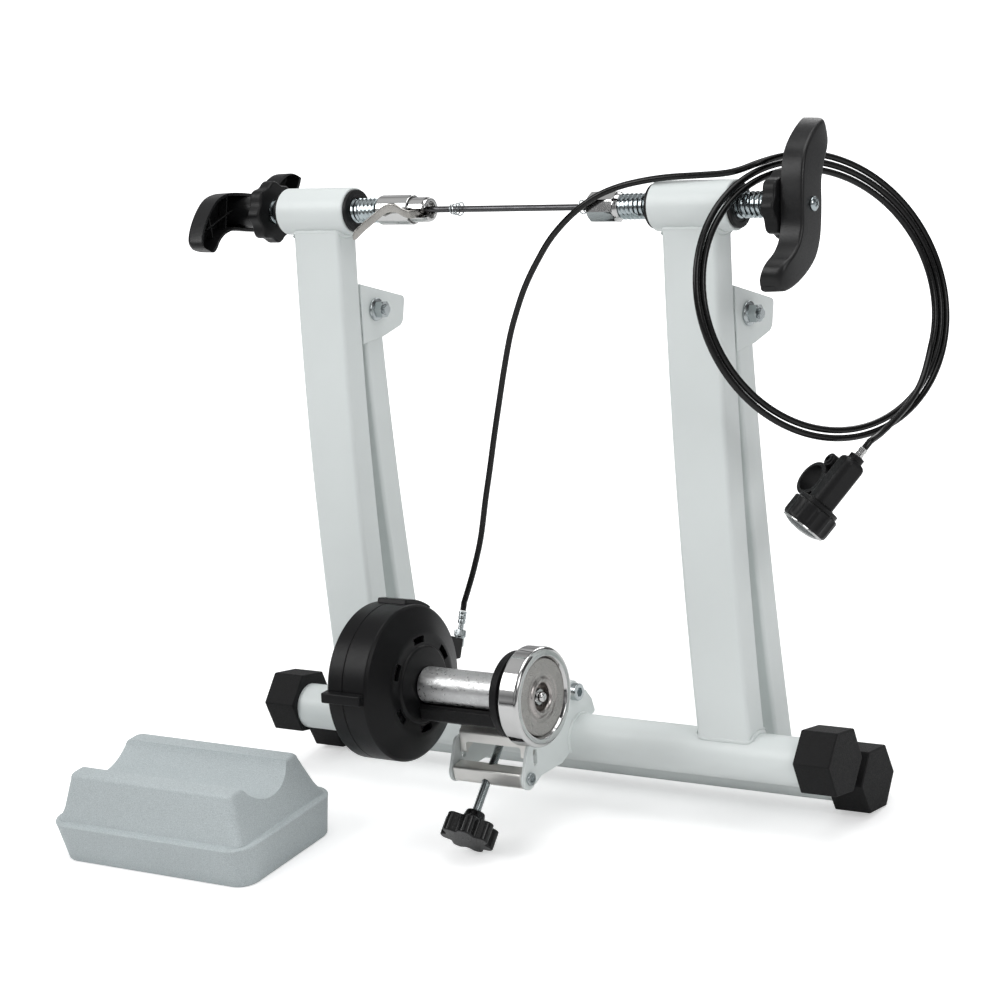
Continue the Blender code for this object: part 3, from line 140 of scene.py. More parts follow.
# Floor
# Plain pale sheet, lit by the lamps. For the camera only it is lifted towards white, the more the
# further it lies from the trainer, so that the soft shadow stays.
sheet = bpy.data.meshes.new("floor")
sheet.from_pydata([(-60, -60, 0), (60, -60, 0), (60, 60, 0), (-60, 60, 0)], [], [(0, 1, 2, 3)])
floor = bpy.data.objects.new("floor", sheet)
scene.collection.objects.link(floor)
pale = bpy.data.materials.new("pale_floor")
pale.use_nodes = True
tree = pale.node_tree
card = tree.nodes["Principled BSDF"]
put(card, Base_Color=(0.86, 0.86, 0.86, 1), Roughness=0.85, Specular_IOR_Level=0.0,
    Emission_Color=(1, 1, 1, 1))
lift = add(tree, "Math", {"operation": "MULTIPLY"})
distance = add(tree, "VectorMath", {"operation": "LENGTH"})
fade = add(tree, "MapRange", From_Min=0.35, From_Max=2.2, To_Min=0.44, To_Max=1.0)
wire(tree, (add(tree, "NewGeometry"), "Position", distance, 0), (distance, "Value", fade, "Value"),
     (fade, "Result", lift, 1), (add(tree, "LightPath"), "Is Camera Ray", lift, 0),
     (lift, "Value", card, "Emission Strength"))
sheet.materials.append(pale)

# Cable
# One glossy jacket, 5 mm thick. It leaves the drum's adjuster, crosses the right sleeve, hangs in
# loops on the right spindle and ends at the shifter.
X, Y, Z = Vector((1, 0, 0)), Vector((0, 1, 0)), Vector((0, 0, 1))
CABLE_RADIUS = 0.0025
CABLE_START = Vector((-0.065, -0.008, 0.0994))
CABLE_HEADING = Vector((0, 0.36, 0.93)).normalized()
STRAIGHT, GAP = 0.007, 0.0003
LEAD = [(-0.061, -0.003, 0.118), (-0.055, -0.001, 0.135), (-0.047, 0.0005, 0.16),
        (-0.04, 0.002, 0.192), (-0.0345, 0.0035, 0.216), (-0.028, 0.005, 0.245), (-0.021, 0.006, 0.273),
        (-0.0129, 0.005, 0.2996), (-0.0031, 0.003, 0.3267), (0.0077, 0.0, 0.348), (0.0191, -0.003, 0.3668),
        (0.0339, -0.007, 0.3856), (0.0533, -0.012, 0.4062), (0.0765, -0.016, 0.4242),
        (0.0975, -0.015, 0.4368), (0.1155, -0.011, 0.4435), (0.1355, -0.0085, 0.4474),
        (0.157, -0.006, 0.4496), (0.18, -0.003, 0.4502),
        (0.201, 0.001, 0.4508), (0.213, 0.0045, 0.4528), (0.2235, 0.012, 0.4564), (0.232, 0.0245, 0.459),
        (0.239, 0.041, 0.4596), (0.244, 0.057, 0.458)]
TAIL = [(0.301, 0.108, 0.279), (0.3, 0.088, 0.266), (0.2985, 0.066, 0.2575), (0.296, 0.045, 0.25)]
COIL_CENTRE = Vector((0.2562, 0.0421, 0.3522))
COIL_HALF_WIDTH, COIL_HALF_HEIGHT = 0.1173, 0.0999
HEADING, TILT, ROLL_BY = (radians(angle) for angle in (70.4, 11.6, -15.7))
COIL_STEP = 0.006
COIL_CROSSING, COIL_FIRST, COIL_LAST = 131, 90, -735
SHIFTER_TOP = Vector((0.2918, 0.024, 0.242))
SHIFTER_FACE = Vector((0.2543, -0.015, 0.1863))
SHIFTER_DOWN = (SHIFTER_FACE - SHIFTER_TOP).normalized()


def smooth(points, steps):
    """A Catmull-Rom curve through points, with equal steps on each span."""
    points = [Vector(p) for p in points]
    points = [2 * points[0] - points[1], *points, 2 * points[-1] - points[-2]]
    curve = []
    for a, b, c, d in zip(points, points[1:], points[2:], points[3:]):
        for t in (step / steps for step in range(steps)):
            curve.append(b + (c - a) * t / 2 + (a - 2.5 * b + 2 * c - d / 2) * t * t
                         + (1.5 * (b - c) + (d - a) / 2) * t * t * t)
    return curve + [points[-2]]


def hoop(shape, centre, radius, side, other, count):
    """New points on a circle."""
    return [shape.verts.new(centre + radius * (cos(a) * side + sin(a) * other))
            for a in (tau * k / count for k in range(count))]


def skin(shape, rings, closed=False, capped=False):
    """Faces from each ring of points to the next, which may be a single tip, and over both ends."""
    for one, two in zip(rings, rings[1:] + rings[:1] * closed):
        a, b = len(one), len(two)
        for k in range(max(a, b)):
            corners = dict.fromkeys((one[k % a], one[(k + 1) % a], two[(k + 1) % b], two[k % b]))
            if len(corners) > 2:
                shape.faces.new(tuple(corners))
    if capped:
        shape.faces.new(rings[0][::-1])
        shape.faces.new(rings[-1])


def round_bar(points, radius, sides, closed=False):
    """A tube of even thickness through points; radius may be a list with one value per point."""
    points = [Vector(p) for p in points]
    count = len(points)
    shape = bmesh.new()
    side = None
    rings = []
    for i, point in enumerate(points):
        before = points[i - 1] if i or closed else point
        after = points[(i + 1) % count] if i + 1 < count or closed else point
        along = (after - before).normalized()
        if side is None:
            side = along.orthogonal().normalized()
        side = (side - along * side.dot(along)).normalized()
        r = radius[i] if isinstance(radius, list) else radius
        rings.append(hoop(shape, point, r, side, along.cross(side), sides))
    if closed:
        turn = min(range(sides), key=lambda k: (rings[-1][0].co - rings[0][k].co).length)
        rings.append(rings[0][turn:] + rings[0][:turn])
    skin(shape, rings, capped=not closed)
    return as_mesh(shape)


def as_mesh(shape, crease=38):
    """A finished mesh from a bmesh, smooth except at its real corners."""
    bmesh.ops.recalc_face_normals(shape, faces=shape.faces)
    mesh = bpy.data.meshes.new("mesh")
    shape.to_mesh(mesh)
    shape.free()
    mesh.shade_smooth()
    mesh.set_sharp_from_angle(angle=radians(crease))
    return mesh


def node_group(name, inputs, outputs):
    """An empty shader node group with its sockets; returns its tree, way in and way out."""
    group = bpy.data.node_groups.new(name, "ShaderNodeTree")
    for socket, kind, value in inputs:
        made = group.interface.new_socket(name=socket, in_out="INPUT", socket_type=kind)
        made.default_value = value
    for socket, kind in outputs:
        group.interface.new_socket(name=socket, in_out="OUTPUT", socket_type=kind)
    return group, group.nodes.new("NodeGroupInput"), group.nodes.new("NodeGroupOutput")


# Fine relief of a surface: paint's orange peel, a mould's texture, brushed or rolled metal
GRAIN, way_in, way_out = node_group(
    "surface_grain", [("Stretch", "NodeSocketVector", (1, 1, 1)), ("Scale", "NodeSocketFloat", 900.0),
                      ("Detail", "NodeSocketFloat", 3.0)],
    [("Height", "NodeSocketFloat"), ("Mask", "NodeSocketFloat")])
pull = add(GRAIN, "VectorMath", {"operation": "MULTIPLY"})
noise = add(GRAIN, "TexNoise")
reach = add(GRAIN, "MapRange", From_Min=0.34, From_Max=0.66)
wire(GRAIN, (add(GRAIN, "TexCoord"), "Object", pull, 0), (way_in, "Stretch", pull, 1),
     (pull, "Vector", noise, "Vector"), (way_in, "Scale", noise, "Scale"),
     (way_in, "Detail", noise, "Detail"), (noise, "Fac", way_out, "Height"),
     (noise, "Fac", reach, "Value"), (reach, "Result", way_out, "Mask"))

# Slow change of tone over a surface
DRIFT, way_in, way_out = node_group(
    "tone_drift", [("Color", "NodeSocketColor", (0.5, 0.5, 0.5, 1)), ("Scale", "NodeSocketFloat", 14.0),
                   ("Darkest", "NodeSocketFloat", 0.94)],
    [("Color", "NodeSocketColor")])
noise = add(DRIFT, "TexNoise", Detail=4.0)
reach = add(DRIFT, "MapRange", From_Min=0.3, From_Max=0.7, To_Max=1.02)
tone = add(DRIFT, "HueSaturation")
wire(DRIFT, (add(DRIFT, "TexCoord"), "Object", noise, "Vector"), (way_in, "Scale", noise, "Scale"),
     (noise, "Fac", reach, "Value"), (way_in, "Darkest", reach, "To Min"), (reach, "Result", tone, "Value"),
     (way_in, "Color", tone, "Color"), (tone, "Color", way_out, "Color"))


def finish(name, colour, roughness, drift, grain, worn=None, metallic=0.0, specular=0.5, coat=0.0,
           stretch=(1, 1, 1)):
    """A surface. drift is the scale and darkest share of its slow change of tone, grain the scale,
    depth and detail of its relief, and worn the span that the roughness covers, following the grain."""
    look = bpy.data.materials.new(name)
    look.use_nodes = True
    look.diffuse_color = (*colour, 1)
    tree = look.node_tree
    shader = tree.nodes["Principled BSDF"]
    put(shader, Roughness=roughness, Metallic=metallic, Specular_IOR_Level=specular, Coat_Weight=coat,
        Coat_Roughness=0.12)
    patches = add(tree, "Group", {"node_tree": DRIFT, "name": "patches"},
                  Color=(*colour, 1), Scale=drift[0], Darkest=drift[1])
    texture = add(tree, "Group", {"node_tree": GRAIN}, Stretch=stretch, Scale=grain[0], Detail=grain[2])
    bump = add(tree, "Bump", Distance=grain[1])
    wire(tree, (patches, "Color", shader, "Base Color"), (texture, "Height", bump, "Height"),
         (bump, "Normal", shader, "Normal"))
    if worn:
        spread = add(tree, "MapRange", To_Min=worn[0], To_Max=worn[1])
        wire(tree, (texture, "Mask", spread, "Value"), (spread, "Result", shader, "Roughness"))
    return look


across = Vector((cos(HEADING), sin(HEADING), 0))
rise = cos(TILT) * Z + sin(TILT) * Vector((-sin(HEADING), cos(HEADING), 0))
coil_u = cos(ROLL_BY) * across + sin(ROLL_BY) * rise
coil_v = -sin(ROLL_BY) * across + cos(ROLL_BY) * rise


def coil_point(angle):
    """A point of the loops, each of which lies inside the one before."""
    grow = COIL_STEP * (1.5 - (COIL_CROSSING - angle) / 360)
    turn = radians(angle)
    return (COIL_CENTRE + (COIL_HALF_WIDTH + grow) * cos(turn) * coil_u
            + (COIL_HALF_HEIGHT + grow) * sin(turn) * coil_v)


loops = [coil_point(COIL_FIRST - 3 * i) for i in range((COIL_FIRST - COIL_LAST) // 3 + 1)]
into_loops = (coil_point(COIL_FIRST - 15) - loops[0]).normalized()
lead = smooth([CABLE_START + CABLE_HEADING * STRAIGHT, *LEAD, loops[0] - into_loops * STRAIGHT], 5)
tail = smooth([coil_point(COIL_LAST + 15), loops[-1], *TAIL, SHIFTER_TOP - SHIFTER_DOWN * STRAIGHT], 8)[9:]
route = [CABLE_START + CABLE_HEADING * GAP, *lead, *loops, *tail, SHIFTER_TOP - SHIFTER_DOWN * GAP]
JACKET = finish("cable_jacket", (0.004, 0.004, 0.004), 0.22, (30.0, 0.85), (700.0, 0.00003, 2.0),
                (0.16, 0.28), specular=0.35)
cable = bpy.data.objects.new("cable", round_bar(route, CABLE_RADIUS, 14))
cable.data.name = "cable"
cable.data.transform(STAND)
cable.data.materials.append(JACKET)
scene.collection.objects.link(cable)
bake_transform(cable)
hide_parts("cable_run", "cable_coil")

# Base tubes
# Two 38 mm steel tubes with an off-white powder coat, which has a faint orange peel. The uprights
# are welded onto the front one and the legs onto the rear one.
TUBE_RADIUS, TUBE_WALL = 0.019, 0.0018
FOOT_SPAN, FOOT_END = 0.545, 0.005
TUBE_REACH = FOOT_SPAN / 2 - FOOT_END - GAP
PAINT = finish("powder_coat", (0.745, 0.785, 0.775), 0.36, (9.0, 0.975), (420.0, 0.00006, 2.5), (0.3, 0.44),
               specular=0.42)
PIVOT = (0.0265, 0.3424)
REAR_TUBE = (0.052, -0.0275)
FRONT_TUBE = (0.0, 0.0)


def fitted(name, mesh, look, body, *nodes, leaned=True):
    """Put a mesh on its body, in the place of the CAD nodes it stands for."""
    if leaned:
        mesh.transform(STAND)
    mesh.name = name
    mesh.materials.clear()
    mesh.materials.append(look)
    piece = bpy.data.objects.new(name, mesh)
    scene.collection.objects.link(piece)
    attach(piece, body)
    even = piece.modifiers.new("even_normals", "WEIGHTED_NORMAL")
    even.keep_sharp = True
    if nodes:
        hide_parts(*nodes)
    return piece


def soft_profile(corners):
    """A turned profile of (distance, radius, rounding) corners; a corner without rounding stays sharp."""
    points = []
    for i, (distance, radius, *fillet) in enumerate(corners):
        corner = Vector((distance, radius))
        if not fillet or not 0 < i < len(corners) - 1:
            points.append(corner)
            continue
        back = Vector(corners[i - 1][:2]) - corner
        ahead_of = Vector(corners[i + 1][:2]) - corner
        reach_back = min(fillet[0], back.length * 0.49, ahead_of.length * 0.49)
        start, end = corner + back.normalized() * reach_back, corner + ahead_of.normalized() * reach_back
        for t in (0.0, 0.25, 0.5, 0.75, 1.0):
            points.append((1 - t) ** 2 * start + 2 * t * (1 - t) * corner + t * t * end)
    return points


def turned(corners, at, axis=X, steps=72, ring=False):
    """A body turned round axis, from a profile that starts and ends on the axis, or is a closed ring."""
    at, axis = Vector(at), Vector(axis).normalized()
    side = axis.orthogonal().normalized()
    shape = bmesh.new()
    rings = [hoop(shape, at + axis * p.x, p.y, side, axis.cross(side), steps) if p.y > 1e-7
             else [shape.verts.new(at + axis * p.x)] for p in soft_profile(corners)]
    skin(shape, rings, closed=ring)
    return as_mesh(shape)


def pipe(radius, bore, low, high, centre, edge=0.0006):
    """A round tube along X with softened ends."""
    return turned([(low, bore), (low, radius - edge), (low + edge, radius), (high - edge, radius),
                   (high, radius - edge), (high, bore)], at=(0, *centre), steps=96, ring=True)


fitted("front_tube", pipe(TUBE_RADIUS, TUBE_RADIUS - TUBE_WALL, -TUBE_REACH, TUBE_REACH, FRONT_TUBE), PAINT,
       "front_frame", "front_base_tube")
fitted("rear_tube", pipe(TUBE_RADIUS, TUBE_RADIUS - TUBE_WALL, -TUBE_REACH, TUBE_REACH, REAR_TUBE), PAINT,
       "rear_frame", "rear_base_tube")

# Uprights and rear legs
# Slightly bowed box sections of steel with rolled corners, in the same powder coat. They are coped
# onto the round tubes and welded all round.
AXLE_HEIGHT = 0.4275
UPRIGHT_SPACING = 0.3518
UPRIGHT_X = UPRIGHT_SPACING / 2
UPRIGHT_WIDTH, UPRIGHT_DEPTH, UPRIGHT_BOW = 0.0477, 0.0249, 0.0077
LEG_WIDTH, LEG_DEPTH, LEG_BOW = 0.04, 0.025, 0.0058
COPE = TUBE_RADIUS + GAP
SIDES = ((-1, "left"), (1, "right"))


def joined(*meshes):
    """Several closed meshes as one."""
    shape = bmesh.new()
    for mesh in meshes:
        shape.from_mesh(mesh)
        bpy.data.meshes.remove(mesh)
    return as_mesh(shape)


def arc(centre, radius, start, end, steps):
    """Points on an arc, with angles in degrees from the first axis."""
    angles = [radians(start + (end - start) * i / steps) for i in range(steps + 1)]
    return [(centre[0] + radius * cos(a), centre[1] + radius * sin(a)) for a in angles]


def rounded(corners, steps=6):
    """An outline through (u, v, radius) corners, each rounded by an arc; plain (u, v) points stay sharp."""
    outline = []
    count = len(corners)
    for index, place in enumerate(corners):
        u, v, radius = (*place, 0)[:3]
        corner = Vector((u, v))
        if not radius:
            outline.append((u, v))
            continue
        back = (Vector(corners[index - 1][:2]) - corner).normalized()
        forth = (Vector(corners[(index + 1) % count][:2]) - corner).normalized()
        half = back.angle(forth) / 2
        centre = corner + (back + forth).normalized() * radius / sin(half)
        run = radius / tan(half)
        first, last = corner + back * run - centre, corner + forth * run - centre
        start = atan2(first.y, first.x)
        sweep = (atan2(last.y, last.x) - start + pi) % tau - pi
        outline += arc(centre, radius, degrees(start), degrees(start + sweep), steps)
    return outline


def drawn_in(outline, distance):
    """The same outline drawn in by a distance, or out by a negative one."""
    count = len(outline)
    area = sum(outline[i - 1][0] * outline[i][1] - outline[i][0] * outline[i - 1][1] for i in range(count))
    hand = 1 if area > 0 else -1
    inner = []
    for i in range(count):
        here = Vector(outline[i])
        back, forth = here - Vector(outline[i - 1]), Vector(outline[(i + 1) % count]) - here
        if back.length < 1e-9 or forth.length < 1e-9:
            along = (back + forth).normalized()
            mitre = 1.0
        else:
            back.normalize()
            forth.normalize()
            along = (back + forth).normalized()
            mitre = 1 / max(0.5, along.dot(forth))
        inner.append((here.x - hand * distance * mitre * along.y, here.y + hand * distance * mitre * along.x))
    return inner


SIDE_AXES = (Y, Z, X)


def slab(outline, low, high, edge=0.0, at=(0, 0, 0), axes=SIDE_AXES, holes=(), pocket=None, floor=0.0,
         steps=4):
    """A closed plate from low to high along its third axis, with rims rounded by edge.
    pocket is a second outline that is sunk from the low face down to floor."""
    at = Vector(at)
    u_axis, v_axis, w_axis = (Vector(a) for a in axes)
    shape = bmesh.new()

    def loop(points, distance, level_at):
        return [shape.verts.new(at + u_axis * u + v_axis * v + w_axis * level_at)
                for u, v in (drawn_in(points, distance) if distance else points)]

    turns = [k / steps * pi / 2 for k in range(steps + 1)] if edge else [pi / 2]
    rim = [(edge * (1 - sin(a)), edge * (1 - cos(a))) for a in turns]
    layers = [(back, low + rise) for back, rise in rim] + [(back, high - rise) for back, rise in rim[::-1]]
    caps = [[], []]
    for points, hand in [(outline, 1)] + [(hole, -1) for hole in holes]:
        rings = [loop(points, hand * distance, level_at) for distance, level_at in layers]
        skin(shape, rings)
        caps[0].append(rings[0])
        caps[1].append(rings[-1])
    if pocket:
        mouth, bottom = loop(pocket, 0, low), loop(pocket, 0.0004, floor)
        skin(shape, [mouth, bottom])
        caps[0].append(mouth)
        caps.append([bottom])
    for cap in caps:
        edges = [shape.edges.get(pair) or shape.edges.new(pair)
                 for ring in cap for pair in zip(ring, ring[1:] + ring[:1])]
        bmesh.ops.triangle_fill(shape, edges=edges, use_beauty=True)
    return as_mesh(shape)


def bow_line(start, end, bow):
    """A bar that bows toward -Y: its point at a share of its length and an offset from its middle line."""
    start, end = Vector(start), Vector(end)
    chord = end - start
    along = chord.normalized()
    out = Vector((-along.y, along.x))
    if out.x > 0:
        out = -out
    radius = (chord.length ** 2 / 4 + bow ** 2) / (2 * bow)
    centre = (start + end) / 2 + out * (bow - radius)
    half = asin(chord.length / 2 / radius)

    def at_share(share, offset):
        a = -half + 2 * half * share
        return centre + (radius + offset) * (out * cos(a) + along * sin(a))

    return at_share


def coped(start, end, bow, depth, top_tube=True):
    """The side view of a bar that ends on a tube at start, and at end on another or in a round tip."""
    line = bow_line(start, end, bow)
    span = (Vector(end) - Vector(start)).length
    reach_of = sqrt(COPE ** 2 - (depth / 2) ** 2) / span
    shares = [reach_of + (1 - (2 if top_tube else 1) * reach_of) * i / 24 for i in range(25)]
    outer = [line(s, depth / 2) for s in shares]
    inner = [line(s, -depth / 2) for s in shares]

    def saddle(centre, first, last):
        a, b = (degrees(atan2(p.y - centre[1], p.x - centre[0])) for p in (first, last))
        b = a + (b - a + 180) % 360 - 180
        return [Vector(p) for p in arc(centre, COPE, a, b, 10)[1:-1]]

    if top_tube:
        cap = saddle(end, outer[-1], inner[-1])
    else:
        rim = outer[-1] - Vector(end)
        turn = degrees(atan2(rim.y, rim.x))
        cap = [Vector(p) for p in arc(end, depth / 2, turn, turn - 180, 16)[1:-1]]
    foot = saddle(start, inner[0], outer[0])
    return [tuple(p) for p in outer + cap + inner[::-1] + foot]


def oblong(half_u, half_v, corner, steps):
    """A rectangle about the origin, with rounded corners."""
    return rounded([(u * half_u, v * half_v, corner) for u, v in ((-1, -1), (1, -1), (1, 1), (-1, 1))], steps)


def weld(x, width, depth, corner, centre, upward, shift=0.0):
    """A bead of weld where a bar of that section meets a round tube, with the ripples of its passes."""
    outline = oblong(width / 2 - 0.0004, depth / 2 - 0.0004, corner, 5)
    points = []
    for (u, v), (nu, nv) in zip(outline, outline[1:] + outline[:1]):
        steps = max(1, round(hypot(nu - u, nv - v) / 0.0014))
        points += [(u + (nu - u) * k / steps, v + (nv - v) * k / steps) for k in range(steps)]
    path, radii = [], []
    for i, (u, v) in enumerate(points):
        v_here = v + shift
        path.append((x + u, centre[0] + v_here,
                     centre[1] + upward * (sqrt((TUBE_RADIUS + 0.0004) ** 2 - v_here ** 2) + 0.0004)))
        radii.append(0.0019 + 0.00016 * sin(i * 2.1) + 0.0001 * sin(i * 0.37))
    return round_bar(path, radii, 10, closed=True)


upright_side = coped((0, 0), (0, AXLE_HEIGHT), UPRIGHT_BOW, UPRIGHT_DEPTH)
leg_side = coped(REAR_TUBE, PIVOT, LEG_BOW, LEG_DEPTH, top_tube=False)
for side, hand in SIDES:
    x = side * UPRIGHT_X
    half = UPRIGHT_WIDTH / 2
    fitted("upright_" + hand, joined(slab(upright_side, x - half, x + half, 0.0042, steps=6),
                                     weld(x, UPRIGHT_WIDTH, UPRIGHT_DEPTH, 0.004, FRONT_TUBE, 1),
                                     weld(x, UPRIGHT_WIDTH, UPRIGHT_DEPTH, 0.004, (0, AXLE_HEIGHT), -1)),
           PAINT, "front_frame", "front_upright_" + hand)
    half = LEG_WIDTH / 2
    fitted("leg_" + hand, joined(slab(leg_side, x - half, x + half, 0.0032, steps=5),
                                 weld(x, LEG_WIDTH, LEG_DEPTH, 0.0032, REAR_TUBE, 1, -0.0006)),
           PAINT, "rear_frame", "rear_leg_" + hand)

# Feet
# Six-sided caps of moulded rubber, pressed onto the base tubes' ends. They are bored off their
# centres, so that turning one levels the stand.
RUBBER = finish("foot_rubber", (0.0075, 0.0075, 0.008), 0.66, (40.0, 0.8), (1500.0, 0.0001, 3.0),
                (0.5, 0.72), specular=0.22)
FOOT_LENGTH, FOOT_RADIUS = 0.031, 0.0281


def circle(centre, radius):
    """A round hole's outline, of 48 points."""
    return arc(centre, radius, 0, 352.5, 47)


def hexagon(centre, radius, turn, fillet):
    """A six-sided outline with rounded corners."""
    angles = [radians(60 * i + turn) for i in range(6)]
    return rounded([(centre[0] + radius * cos(a), centre[1] + radius * sin(a), fillet) for a in angles], 4)


FEET = (("front", (0.0024, 0.0029), FRONT_TUBE, -8.2), ("rear", (0.0539, -0.0262), REAR_TUBE, -4.4))
for label, centre, tube_centre, turn in FEET:
    for side, hand in SIDES:
        outer = FOOT_SPAN / 2
        bore = circle(tube_centre, TUBE_RADIUS + 0.0002)
        cap = slab(hexagon(centre, FOOT_RADIUS, turn, 0.0016), outer - FOOT_LENGTH, outer, 0.0013,
                   axes=(Y, Z, side * X), pocket=bore, floor=outer - FOOT_END)
        fitted("%s_cap_%s" % (label, hand), cap, RUBBER, label + "_frame", "%s_foot_%s" % (label, hand))

# Clamp sleeves
# Short tubes across the uprights' tops that guide the threaded spindles, in the same powder coat.
# A flanged bush of black nylon is pressed into each end.
THREAD_RADIUS = 0.01
SLEEVE_ENDS = (0.1436, 0.2114)
SLEEVE_WALL = 0.0025
SLEEVE_BORE = TUBE_RADIUS - SLEEVE_WALL
AXLE = (0, 0, AXLE_HEIGHT)
MOULDED = finish("moulded_black", (0.0065, 0.0065, 0.007), 0.38, (22.0, 0.88), (1300.0, 0.00005, 2.0),
                 (0.34, 0.48), specular=0.28)
for side, hand in SIDES:
    low, high = sorted(side * end for end in SLEEVE_ENDS)
    fitted("sleeve_tube_" + hand, pipe(TUBE_RADIUS, SLEEVE_BORE, low, high, (0, AXLE_HEIGHT), 0.0008), PAINT,
           "front_frame", "sleeve_" + hand)
    for end, label in ((-1, "inner"), (1, "outer")):
        seat = SLEEVE_ENDS[(end + 1) // 2] + end * GAP
        bore = THREAD_RADIUS + GAP
        bush = turned([(-0.01, bore), (-0.01, SLEEVE_BORE - GAP), (0, SLEEVE_BORE - GAP), (0, 0.0172),
                       (0.003, 0.0172, 0.001), (0.003, 0.0128, 0.0004), (0.0024, 0.0124, 0.0004),
                       (0.0024, bore)],
                      at=(side * seat, 0, AXLE_HEIGHT), axis=side * end * X, ring=True)
        fitted("bush_%s_%s_ring" % (label, hand), bush, MOULDED, "front_frame", "bush_%s_%s" % (label, hand))

# Fold hinges
# A plate folded to a channel is welded to each upright's back and carries the leg on a plated bolt.
# The bolt has a hex head with a washer on the left and a flange nut on the right.
BRACKET_PLATE = 0.0025
ZINC = finish("zinc_plate", (0.5, 0.54, 0.55), 0.2, (60.0, 0.9), (900.0, 0.00001, 2.0), (0.15, 0.27),
              metallic=1.0)


def stacked(rings, at, axes, open_bore=False):
    """A closed body through outlines of equal count, given as (distance, outline)."""
    at = Vector(at)
    u_axis, v_axis, w_axis = (Vector(a) for a in axes)
    shape = bmesh.new()
    hoops = [[shape.verts.new(at + u_axis * u + v_axis * v + w_axis * w) for u, v in outline]
             for w, outline in rings]
    skin(shape, hoops, closed=open_bore, capped=not open_bore)
    return as_mesh(shape)


def polar(reach, steps):
    """An outline from a function of the angle."""
    return [(reach(a) * cos(a), reach(a) * sin(a)) for a in (tau * k / steps for k in range(steps))]


def frame_of(axis):
    """Two axes across the given one, then the axis itself."""
    axis = Vector(axis).normalized()
    side_axis = axis.orthogonal().normalized()
    return (side_axis, axis.cross(side_axis), axis)


def hex_body(apothem, low, high, at, axis, turn=0.0, bore=0.0, chamfer_low=False, sides=6):
    """A nut or bolt head with flats and the turned chamfers of a real one."""
    half = pi / sides
    limit = apothem * 1.02
    drop = (apothem / cos(half) - limit) * 0.577

    def plan(reach_of):
        return polar(reach_of, 12 * sides)

    flats = plan(lambda a: apothem / cos((a - turn) % (2 * half) - half))
    chamfered = plan(lambda a: min(apothem / cos((a - turn) % (2 * half) - half), limit))
    rings = [(low, chamfered), (low + drop, flats)] if chamfer_low else [(low, flats)]
    rings += [(high - drop, flats), (high, chamfered)]
    if bore:
        rings += [(high, plan(lambda a: bore)), (low, plan(lambda a: bore))]
    return stacked(rings, at, frame_of(axis), open_bore=bore > 0)


def threaded(radius, depth, pitch, low, high, at, axis, steps):
    """A screw thread as real helical geometry, closed at both ends."""
    at = Vector(at)
    side_axis, other_axis, axis = frame_of(axis)
    form = ((0.0, 0.0), (0.2, 0.0), (0.46, depth), (0.72, depth))
    shape = bmesh.new()
    rows = []
    for n in range(int(low // pitch) - 1, ceil(high / pitch) + 1):
        for phase, cut in form:
            row = []
            for k in range(steps):
                a = tau * k / steps
                along, r = (n + phase + k / steps) * pitch, radius - cut
                if along <= low or along >= high:
                    along, r = min(max(along, low), high), radius - depth
                spot = at + axis * along + r * (cos(a) * side_axis + sin(a) * other_axis)
                row.append(shape.verts.new(spot))
            rows.append(row)
    for i in range(len(rows) - 1):
        for k in range(steps - 1):
            shape.faces.new((rows[i][k], rows[i][k + 1], rows[i + 1][k + 1], rows[i + 1][k]))
        if i + 1 + len(form) < len(rows):
            shape.faces.new((rows[i][-1], rows[i + len(form)][0], rows[i + 1 + len(form)][0],
                             rows[i + 1][-1]))
    bmesh.ops.remove_doubles(shape, verts=shape.verts, dist=1e-6)
    bmesh.ops.dissolve_degenerate(shape, edges=shape.edges, dist=1e-7)
    bmesh.ops.holes_fill(shape, edges=[e for e in shape.edges if e.is_boundary])
    return as_mesh(shape, 50)


upright_line = bow_line((0, 0), (0, AXLE_HEIGHT), UPRIGHT_BOW)


def behind_upright(offset, low, high):
    """Points up the upright's back, from one height to the other."""
    return [tuple(upright_line((low + (high - low) * i / 10) / AXLE_HEIGHT, -(UPRIGHT_DEPTH / 2 + offset)))
            for i in range(11)]


